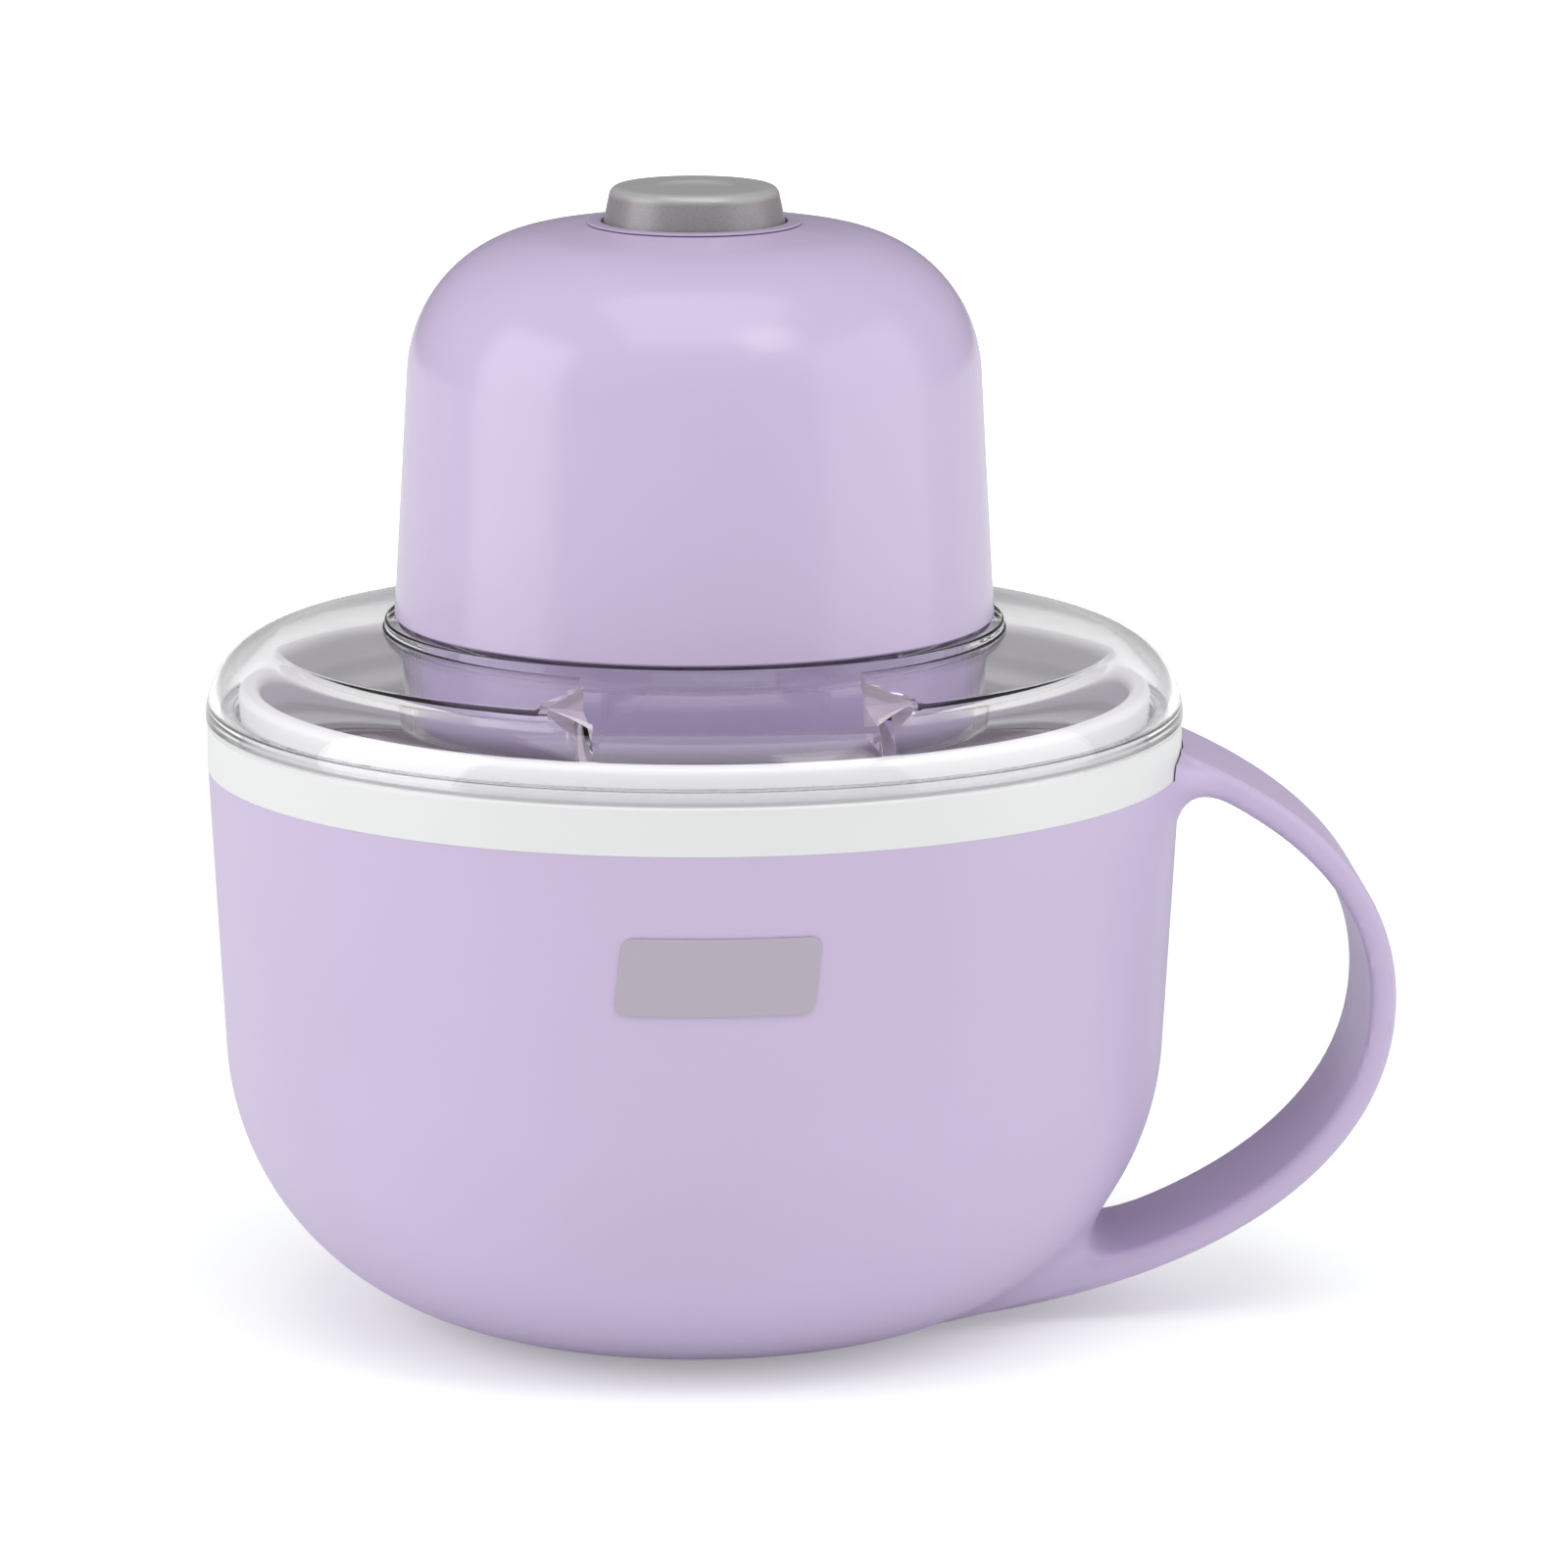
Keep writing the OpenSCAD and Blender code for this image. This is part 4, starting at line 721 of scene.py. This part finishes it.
class ICECREAM_OT_rim(bpy.types.Operator):
    """Models the white rim of the freezer bowl"""
    bl_idname = "icecream.rim"
    bl_label = "Rim"

    def execute(self, context):
        mug, finishes = context.scene.mug_sizes, context.scene.finishes
        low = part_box("bowl_rim")[0].z
        band_top = mug.top_height + mug.rim_height
        plate, plate_wall = band_top - 0.0032, 0.0024
        skirt_in, band_in = 0.0708, 0.0725
        skirt_out = mug_side(mug, low) - mug.wall / cos(mug.lean) - 0.0003
        mouth_out, mouth_top = mug.mouth_radius + mug.mouth_wall, band_top + mug.mouth_height
        outline = rounded([
            (mug.liner_radius, plate - plate_wall, 0.0008), (skirt_in, plate - plate_wall, SOFT),
            (skirt_in, low, SOFT), (skirt_out, low, SOFT), (skirt_out, mug.top_height, 0),
            (mug.rim_radius, mug.top_height, 0.00015), (mug.rim_radius, band_top, 0.0006),
            (band_in, band_top, 0.0006), (band_in, plate, BROAD), (mouth_out, plate, BROAD),
            (mouth_out, mouth_top, 0.0012), (mug.mouth_radius, mouth_top, 0.0012),
            (mug.mouth_radius, plate, 0.0015), (mug.liner_radius, plate, 0.0009)])
        # painted light: above the lid's foot the rim turns lighter, standing in for the light that the clear
        # lid keeps off the mouth
        painted_light_under_lid = (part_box("lid")[0].z + 0.0016, finishes.mouth_painted_light)
        white = plastic("white_satin", finishes.rim_white, 0.32, 0.00015, split=painted_light_under_lid)
        turned_piece("bowl_rim", outline, white, "mug", "rim_white")
        return {"FINISHED"}


class ICECREAM_OT_badge(bpy.types.Operator):
    """Models the plain badge that follows the mug's side"""
    bl_idname = "icecream.badge"
    bl_label = "Badge"

    def execute(self, context):
        mug = context.scene.mug_sizes
        width, height, slant, lift = mug.badge_width / 2, mug.badge_height / 2, 0.0012, 0.00005
        clear_selection()
        bpy.ops.mesh.primitive_plane_add(
            size=2, location=(0, -mug.top_radius - 0.004, mug.badge_centre), rotation=(radians(90), 0, 0))
        bpy.context.object.scale = (width, height, 1)
        badge = settle(bpy.context.object, "badge_finished")
        for vertex in badge.data.vertices:
            if (vertex.co.x < 0) == (vertex.co.z > mug.badge_centre):
                vertex.co.x -= copysign(slant, vertex.co.x)
        edit(badge)
        bpy.ops.mesh.bevel(offset=0.0018, segments=8, affect="VERTICES")
        bpy.ops.mesh.inset(thickness=0.0004)
        for x in np.linspace(-width, width, 31)[1:-1]:
            select_all()
            bpy.ops.mesh.bisect(plane_co=(x, 0, 0), plane_no=(1, 0, 0))
        bpy.ops.object.mode_set(mode="OBJECT")
        for vertex in badge.data.vertices:
            radius = mug_side(mug, vertex.co.z) + lift
            vertex.co.y = -sqrt(radius ** 2 - vertex.co.x ** 2)
        modify(badge, "SOLIDIFY", thickness=0.0003, offset=1)
        soften(badge, 0.00012)
        grey = plastic("badge_grey_print", context.scene.finishes.badge, 0.55, 0.0001, 0.3)
        hand_over(smooth(badge), grey, "mug", "badge")
        return {"FINISHED"}


class ICECREAM_OT_foot(bpy.types.Operator):
    """Models the ribbed rubber foot pad"""
    bl_idname = "icecream.foot"
    bl_label = "Foot pad"

    def execute(self, context):
        mug = context.scene.mug_sizes
        r, t = mug.pad_radius, mug.pad_thickness
        middle, groove = 0.0005, 0.0006
        corners = [(0, middle, 0), (0.0075, middle, CRISP), (0.0077, 0, CRISP)]
        for ring in (0.012, 0.0165, 0.021):
            corners += [(ring - 0.0007, 0, CRISP), (ring - 0.0004, groove, CRISP),
                        (ring + 0.0004, groove, CRISP), (ring + 0.0007, 0, CRISP)]
        corners += [(r, 0, SOFT), (r, t, CRISP), (0, t, 0)]
        turned_piece("foot_pad", rounded(corners), rubber("dark_rubber", (0.05, 0.05, 0.055)),
                     "mug", "foot_rubber")
        return {"FINISHED"}


class ICECREAM_OT_lid(bpy.types.Operator):
    """Models the clear lid with its collar and chute"""
    bl_idname = "icecream.lid"
    bl_label = "Lid"

    def execute(self, context):
        lid, finishes = context.scene.lid_sizes, context.scene.finishes
        slope, wall, inside = tan(lid.slope), lid.wall, lid.radius - lid.wall
        lip_low, lip_in, lip_out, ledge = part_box("lid")[0].z, 0.0704, 0.0721, lid.foot + 0.0018
        edge = self.edge_height(lid)
        inner_edge = edge - wall / cos(lid.slope) + wall * slope
        inner_collar = 0.0446
        outline = rounded([
            (lid.radius, lid.foot, EDGE), (lid.radius, edge, lid.shoulder),
            (lid.collar_radius, lid.collar_base, SOFT), (lid.collar_radius, lid.collar_top, SOFT),
            (lid.collar_inside, lid.collar_top, SOFT), (lid.collar_inside, lid.collar_foot, BROAD),
            (inner_collar, lid.collar_foot, BROAD),
            (inner_collar, inner_edge + (inside - inner_collar) * slope, 0.0008),
            (inside, inner_edge, lid.shoulder - wall), (inside, ledge, BROAD), (lip_in, ledge, EDGE),
            (lip_in, lip_low, EDGE), (lip_out, lip_low, EDGE), (lip_out, lid.foot, EDGE)])
        clear = clear_plastic("clear_moulding")
        piece = dress(turned("lid_finished", outline, FINE_STEPS), clear)
        # painted reflection: the satin faces of the mouth are tinted lavender for the lavender parts seen in
        # them
        satin = clear_plastic("clear_moulding_edge_painted_reflection", finishes.cut_edge_painted_reflection, 0.4, 0.5)
        # painted shade: a dark, nearly opaque front edge
        dark = clear_plastic("clear_moulding_front_painted_shade", finishes.front_edge, 0.5, 0.1)
        self.add_chute(piece, lid, clear, satin, dark)
        hand_over(smooth(piece, 25), None, "lid", "lid")
        return {"FINISHED"}

    def edge_height(self, lid):
        """Where the slope of the top would meet the lid's side"""
        return lid.collar_base - (lid.radius - lid.collar_radius) * tan(lid.slope)

    def add_chute(self, piece, lid, clear, satin, dark):
        """Adds the chute's side walls and flares under the top, and opens the mouth"""
        half, wall = lid.chute_width / 2, lid.wall
        sides = (-1, 1)
        middle, back = half + wall / 2, -lid.chute_back
        under = [block((side * middle - wall / 2, -lid.radius, lid.chute_foot),
                       (side * middle + wall / 2, back, lid.collar_top)) for side in sides]
        under += [self.flare(lid, side, wall) for side in sides]
        for part in under:
            combine(part, [self.trim(lid)], "INTERSECT")
            self.turn(dress(part, clear), lid)
        combine(piece, under, "UNION")
        # the opening's faces and the flares take the lavender-tinted satin, a painted reflection
        opening = block((-half, -lid.radius, lid.chute_foot), (half, 0, lid.collar_top + PAST))
        # the front cut takes the dark material, a painted shade line at the mouth's front edge
        combine(dress(opening, satin), [dress(self.front_cone(lid), dark)], "INTERSECT")
        cuts = [opening] + [dress(self.flare(lid, side, 0), satin) for side in sides]
        for part in cuts:
            self.turn(part, lid)
        inside, outside = [dress(rod(radius, 0.05, 0.15, FINE_STEPS), clear)
                           for radius in (lid.collar_inside, lid.collar_radius)]
        combine(opening, [outside])
        combine(piece, cuts + [inside])

    def turn(self, part, lid):
        pick(part)
        part.rotation_euler = (0, 0, lid.chute_turn)
        bpy.ops.object.transform_apply(rotation=True)

    def trim(self, lid):
        """The lid's outer shape, moved in by half its wall"""
        inset = lid.wall / 2
        radius, edge = lid.radius - inset, self.edge_height(lid)
        return turned("working_trim", rounded([
            (0, lid.foot, 0), (radius, lid.foot, 0), (radius, edge - inset + 0.0001, lid.shoulder - inset),
            (0, lid.collar_base + lid.collar_radius * tan(lid.slope) - inset, 0)]), 96)

    def front_cone(self, lid):
        """The leaning cut that ends the opening at an arc, nearly square to the shoulder"""
        lean = tan(radians(30))
        low, high = lid.chute_foot, lid.collar_top
        clear_selection()
        bpy.ops.mesh.primitive_cone_add(
            vertices=FINE_STEPS, depth=high - low, location=(0, 0, (high + low) / 2),
            radius1=lid.chute_front - (lid.front_edge - low) * lean,
            radius2=lid.chute_front + (high - lid.front_edge) * lean)
        return settle(bpy.context.object, "working_cone")

    def flare(self, lid, side, grow):
        """The wedge at one side of the mouth, whose floor rises towards its point"""
        half, middle = lid.chute_width / 2, (lid.chute_back + lid.chute_front) / 2
        corner = sqrt(lid.chute_front ** 2 - half ** 2)
        drop, rise = 0.0015, lid.flare_depth / lid.flare
        floor = lid.collar_base - lid.flare_depth - drop - grow
        clear_selection()
        bpy.ops.mesh.primitive_cube_add(size=2, location=(0, 0, 0))
        wedge = settle(bpy.context.object, "working_flare")
        inner, tip, blunt = half - 0.001, half + lid.flare + 2 * grow, 0.0001
        plan = {(-1, -1): (inner, -corner - grow), (-1, 1): (inner, grow - lid.chute_back),
                (1, -1): (tip, -middle - blunt), (1, 1): (tip, -middle + blunt)}
        for vertex in wedge.data.vertices:
            x, y, z = (round(c) for c in vertex.co)
            px, py = plan[x, y]
            vertex.co = (side * px, py, lid.collar_top + PAST if z > 0 else floor + (px - half) * rise)
        edit(wedge)
        face_outwards()
        return wedge


class ICECREAM_OT_head(bpy.types.Operator):
    """Models the domed motor housing and the housing base"""
    bl_idname = "icecream.head"
    bl_label = "Motor head"

    def execute(self, context):
        head, finishes = context.scene.head_sizes, context.scene.finishes
        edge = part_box("button_bezel")[1].x - 0.001
        foot, sleeve = head.foot, 0.00165
        wall_at_foot = head.foot_radius - head.wall / cos(head.lean)
        outline = [(wall_at_foot, foot), (head.foot_radius - EDGE, foot), (head.foot_radius, foot + EDGE)]
        outline += dome_arcs(head, 0, edge) + list(reversed(dome_arcs(head, head.wall, edge)))
        dome = turned("motor_housing_finished", outline, FINE_STEPS)
        hole, near, far = head.gland_bore + sleeve, 0.03, 0.06
        through = [(0, near), (hole, near), (hole, far), (0, far)]
        combine(dome, [turned("working_gland", through, 48, *self.gland_axis(head))])
        gloss = plastic("lavender_gloss", finishes.lavender, 0.2, 0.0001)
        hand_over(smooth(dome), gloss, "head", "motor_housing")
        self.base(head, finishes, wall_at_foot)
        self.gland(head, gloss)
        return {"FINISHED"}

    def gland_axis(self, head):
        """The centre and the direction that the cord gland is turned about"""
        return (0, 0, head.gland_height), (0, 1, 0)

    def base(self, head, finishes, wall_at_foot):
        low, r = head.spigot_foot, head.spigot_radius
        flange, flange_top = wall_at_foot - 0.0003, head.foot + 0.0022
        wall, hub, bore, hub_top = 0.0022, 0.010, 0.0065, low + 0.005
        outline = rounded([
            (bore, low, EDGE), (r, low, 0.005), (r, head.foot, 0), (flange, head.foot, CRISP),
            (flange, flange_top, EDGE), (r - wall, flange_top, EDGE),
            (r - wall, low + wall, 0.0028), (hub, low + wall, BROAD),
            (hub, hub_top, EDGE), (bore, hub_top, EDGE)])
        base = turned("housing_base_finished", outline)
        hole, circle = 0.00165, 0.036
        combine(base, [rod(hole, low - 0.002, low + 0.006, 24, circle * cos(a), circle * sin(a))
                       for a in (radians(60), radians(220), radians(320))])
        # painted shade: the darker lavender stands in for the shade on the base under the lid
        satin = plastic("lavender_base_painted_shade", finishes.lavender_painted_shade, 0.3, 0.0002)
        hand_over(smooth(base), satin, "head", "housing_base")

    def gland(self, head, gloss):
        low, high = (corner.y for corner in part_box("cord_gland"))
        bore = head.gland_bore
        body, flange = bore + 0.0016, bore + 0.0036
        wall = high - 0.003
        outline = rounded([
            (bore, low, EDGE), (flange, low, EDGE), (flange, low + 0.002, EDGE),
            (body, low + 0.002, 0), (body, wall + 0.0001, 0), (flange, wall + 0.0001, EDGE),
            (flange, wall + 0.0023, 0.0008), (body, wall + 0.0023, CRISP), (body, high, SOFT),
            (bore, high, SOFT)])
        turned_piece("cord_gland", outline, gloss, "head", "housing_lavender", 64, *self.gland_axis(head))


class ICECREAM_OT_button(bpy.types.Operator):
    """Models the push button and the bezel round it"""
    bl_idname = "icecream.button"
    bl_label = "Button"

    def execute(self, context):
        head, finishes = context.scene.head_sizes, context.scene.finishes
        low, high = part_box("button_bezel")
        lip, seat = high.x, head.crown_edge + 0.00005
        neck, inner = lip - 0.00105, head.button_radius + 0.0003
        outline = rounded([
            (inner, low.z, EDGE), (neck, low.z, CRISP), (neck, seat, 0), (lip, seat, 0.0001),
            (lip, high.z, 0.00025), (inner, high.z, 0.00015)])
        satin = plastic("bezel_satin", scaled(finishes.lavender, 0.85), 0.3, 0.0001)
        turned_piece("button_bezel", outline, satin, "head", "bezel_grey")
        self.button(head, finishes)
        return {"FINISHED"}

    def button(self, head, finishes):
        """A hollow cap with a dished top, a flange below and a short post for the plunger"""
        low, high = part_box("power_button")
        flange, flange_top = high.x, low.z + 0.0014
        r, top, wall = head.button_radius, head.button_top, 0.0107
        outline = rounded([
            (wall, low.z, CRISP), (flange, low.z, CRISP), (flange, flange_top, CRISP),
            (r, flange_top, 0), (r, head.crown_edge, 0.0008), (r - 0.0012, top, 0.0016),
            (0.0062, top, 0.0006), (0.0055, top - 0.0004, 0.0008), (0, top - 0.0005, 0),
            (0, top - 0.005, 0), (0.003, top - 0.005, 0), (0.003, top - 0.002, 0),
            (wall, top - 0.002, BROAD)])
        # painted light: above this height the button takes the lighter top colour
        paint = metallic_paint_and_painted_light("grey_metallic_painted_top_light", finishes.button, high.z - 0.0012, finishes.button_top)
        turned_piece("power_button", outline, paint, "button", "button_grey")


class ICECREAM_OT_bowl(bpy.types.Operator):
    """Models the bowl's metal liner and the paddle that turns in it"""
    bl_idname = "icecream.bowl"
    bl_label = "Bowl and paddle"

    def execute(self, context):
        mug = context.scene.mug_sizes
        low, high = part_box("bowl_liner")
        inwards = mug.wall + BOWL_AIR + BOWL_WALL + GEL_SPACE + LINER_PLAY
        outer = cup_outline(mug, inwards, low.z, high.z)
        inner = cup_outline(mug, inwards + LINER_WALL, low.z + LINER_WALL, high.z)
        under = high.z - LINER_WALL
        outline = outer[:-2] + [(outer[-2][0], under), (high.x, under), (high.x, high.z)]
        outline += list(reversed(inner[:-1]))
        # painted reflection: the aluminium's purple tint stands in for the lavender that the liner reflects
        aluminium = metal("bowl_aluminium_painted_reflection", (0.80, 0.73, 0.78), 0.32, (1, 1, 12))
        turned_piece("bowl_liner", outline, aluminium, "mug", "liner_metal")
        white = plastic("paddle_white", context.scene.finishes.paddle, 0.38, 0.0002)
        hand_over(copy_of("paddle", 0.0004), white, "paddle", "paddle")
        return {"FINISHED"}


class ICECREAM_OT_works(bpy.types.Operator):
    """Gives the working parts inside the head and the bowl their materials"""
    bl_idname = "icecream.works"
    bl_label = "Working parts"

    def execute(self, context):
        steel = metal("bright_steel", (0.58, 0.59, 0.61), 0.25)
        looks = (
            (steel, "first_axle second_axle motor_can output_shaft retaining_ring "
                    "housing_screws gearbox_screws motor_screws bracket_screws"),
            (metal("sintered_bronze", (0.60, 0.42, 0.20), 0.4), "motor_bush output_bush motor_pinion"),
            (metal("ferrite", (0.06, 0.06, 0.065), 0.6), "motor_magnets"),
            (metal("wound_copper", (0.55, 0.27, 0.14), 0.35), "armature"),
            (plastic("inner_white", (0.78, 0.78, 0.76), 0.5), "switch_bracket switch_plunger motor_end_cap"),
            (plastic("natural_acetal", (0.78, 0.75, 0.66), 0.35), "first_gear second_gear output_gear"),
            (plastic("switch_black", (0.03, 0.03, 0.03), 0.45), "switch_body"),
            (plastic("bowl_white", (0.80, 0.80, 0.82), 0.45), "bowl_outer"),
            (plastic("freezing_gel", (0.35, 0.55, 0.75), 0.2), "coolant_gel"),
            (plastic("board_green", (0.05, 0.20, 0.09), 0.3), "circuit_board"),
            (plastic("capacitor_blue", (0.05, 0.10, 0.40), 0.25), "board_capacitor"),
            (plastic("lead_red", (0.45, 0.03, 0.02), 0.4), "lead_wires"),
            (plastic("gearbox_white", (0.72, 0.72, 0.70), 0.45), "gear_case gear_cover"),
            (rubber("seal_rubber", (0.08, 0.08, 0.09)), "fill_plug shaft_seal"),
            (rubber("gasket_silicone", (0.75, 0.75, 0.76)), "lid_gasket"))
        for material, nodes in looks:
            for node in nodes.split():
                for part_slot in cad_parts[node].material_slots:
                    part_slot.material = material
        self.spring(context, steel)
        return {"FINISHED"}

    def spring(self, context, steel):
        """The button's return spring, copied with a mesh of its own; in use it shortens by the button's
        travel, which this code does not model
        """
        spring = copy_of("button_spring")
        hand_over(spring, steel, "head", "button_spring")
        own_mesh(spring)


# ---- the stage

def ray_level(tree, diffuse, mirrored):
    """1 for what is seen straight or through clear parts, less in reflections and as light"""
    path = add_node(tree, "LightPath", {}).outputs
    straight, through = path["Is Camera Ray"], path["Is Transmission Ray"]
    seen = add_node(tree, "Math", {0: straight, 1: through}, operation="MAXIMUM")
    rest = add_node(tree, "MapRange", {"Value": path["Is Glossy Ray"], "To Min": diffuse, "To Max": mirrored})
    level = {"Value": seen.outputs[0], "To Min": rest.outputs["Result"], "To Max": 1.0}
    return add_node(tree, "MapRange", level).outputs["Result"]


def soft_box(name, place, aim, width, height, power):
    """A rectangular soft light aimed at a point"""
    clear_selection()
    bpy.ops.object.light_add(type="AREA", location=place)
    light = bpy.context.object
    light.name = light.data.name = name
    light.data.shape = "RECTANGLE"
    light.data.size, light.data.size_y = width, height
    light.data.energy = power
    light.rotation_euler = (Vector(aim) - Vector(place)).to_track_quat("-Z", "Y").to_euler()


class ICECREAM_OT_stage(bpy.types.Operator):
    """Sets the floor, the soft lights and the camera"""
    bl_idname = "icecream.stage"
    bl_label = "Stage"

    def execute(self, context):
        s = context.scene.stage_settings
        self.camera(context, s)
        self.floor(context, s)
        self.world(context, s)
        soft_box("left_soft_box", (-0.92, -0.20, 0.42), (0, 0, 0.30), 0.70, 0.84, s.key)
        soft_box("right_soft_box", (0.90, -0.25, 0.42), (0, 0, 0.30), 0.95, 0.84, s.fill)
        soft_box("top_soft_box", (0, -0.35, 1.1), (0, 0, 0.08), 1.0, 0.9, s.top)
        soft_box("front_soft_box", (0.45, -0.60, 0.95), (0.10, 0, 0.04), 0.35, 0.35, s.front)
        context.scene.view_settings.view_transform = "Standard"
        return {"FINISHED"}

    def camera(self, context, s):
        clear_selection()
        level = cos(s.elevation)
        back = Vector((sin(s.turn) * level, -cos(s.turn) * level, sin(s.elevation)))
        bpy.ops.object.camera_add(location=Vector((0, 0, s.aim_height)) + back * s.distance)
        camera = bpy.context.object
        camera.rotation_euler = (-back).to_track_quat("-Z", "Y").to_euler()
        camera.data.sensor_width = 36
        camera.data.lens = s.lens
        camera.data.shift_x, camera.data.shift_y = s.shift_x, s.shift_y
        camera.data.clip_end = 20
        context.scene.camera = camera

    def floor(self, context, settings):
        clear_selection()
        bpy.ops.mesh.primitive_plane_add(size=6, location=(0, 0, 0))
        floor = settle(bpy.context.object, "studio_floor")
        colour = context.scene.finishes.floor
        s = Shader("studio_floor")
        s.set(Base_Color=s.tint(s.noise(3, 1), colour, scaled(colour, 1.01)), Roughness=0.9,
              Specular_IOR_Level=0.0)
        # the floor glows less near the object, so that it keeps the object's shadow
        length = s.add("VectorMath", {0: s.coordinates}, operation="LENGTH").outputs["Value"]
        far = s.spread(length, 0.30, 0.75, 0.25, 1.0, interpolation_type="SMOOTHSTEP")
        seen = ray_level(s.tree, settings.bounce, settings.mirrored)
        strength = s.add("Math", {0: seen, 1: far}, operation="MULTIPLY")
        lift = s.add("Emission", {"Strength": strength.outputs[0]})
        s.put_out("AddShader", {0: s.shader.outputs["BSDF"], 1: lift.outputs["Emission"]})
        dress(floor, s.material)

    def world(self, context, s):
        world = bpy.data.worlds.new("studio_world")
        context.scene.world = world
        world.use_nodes = True
        tree = world.node_tree
        level = ray_level(tree, s.ambient, s.mirrored)
        feed(tree.nodes["Background"], {"Color": (1, 1, 1, 1), "Strength": level})


class ICECREAM_PT_panel(bpy.types.Panel):
    """Lists the pieces of the ice cream maker"""
    bl_label = "Ice cream maker"
    bl_idname = "ICECREAM_PT_panel"
    bl_space_type = "VIEW_3D"
    bl_region_type = "UI"
    bl_category = "Ice cream"

    def draw(self, context):
        for step in STEPS:
            self.layout.operator(step.bl_idname)


SETTINGS = {
    "mug_sizes": MugSizes,
    "lid_sizes": LidSizes,
    "head_sizes": HeadSizes,
    "finishes": Finishes,
    "stage_settings": StageSettings,
}
STEPS = (ICECREAM_OT_stage, ICECREAM_OT_mug, ICECREAM_OT_rim, ICECREAM_OT_badge, ICECREAM_OT_foot,
         ICECREAM_OT_bowl, ICECREAM_OT_lid, ICECREAM_OT_head, ICECREAM_OT_button, ICECREAM_OT_works)


def register():
    for group in SETTINGS.values():
        bpy.utils.register_class(group)
    for name, group in SETTINGS.items():
        setattr(bpy.types.Scene, name, PointerProperty(type=group))
    for step in STEPS:
        bpy.utils.register_class(step)
    bpy.utils.register_class(ICECREAM_PT_panel)


def unregister():
    bpy.utils.unregister_class(ICECREAM_PT_panel)
    for step in reversed(STEPS):
        bpy.utils.unregister_class(step)
    for name, group in SETTINGS.items():
        delattr(bpy.types.Scene, name)
        bpy.utils.unregister_class(group)


def main():
    register()
    for step in STEPS:
        group, name = step.bl_idname.split(".")
        getattr(getattr(bpy.ops, group), name)()


if __name__ == "__main__":
    main()
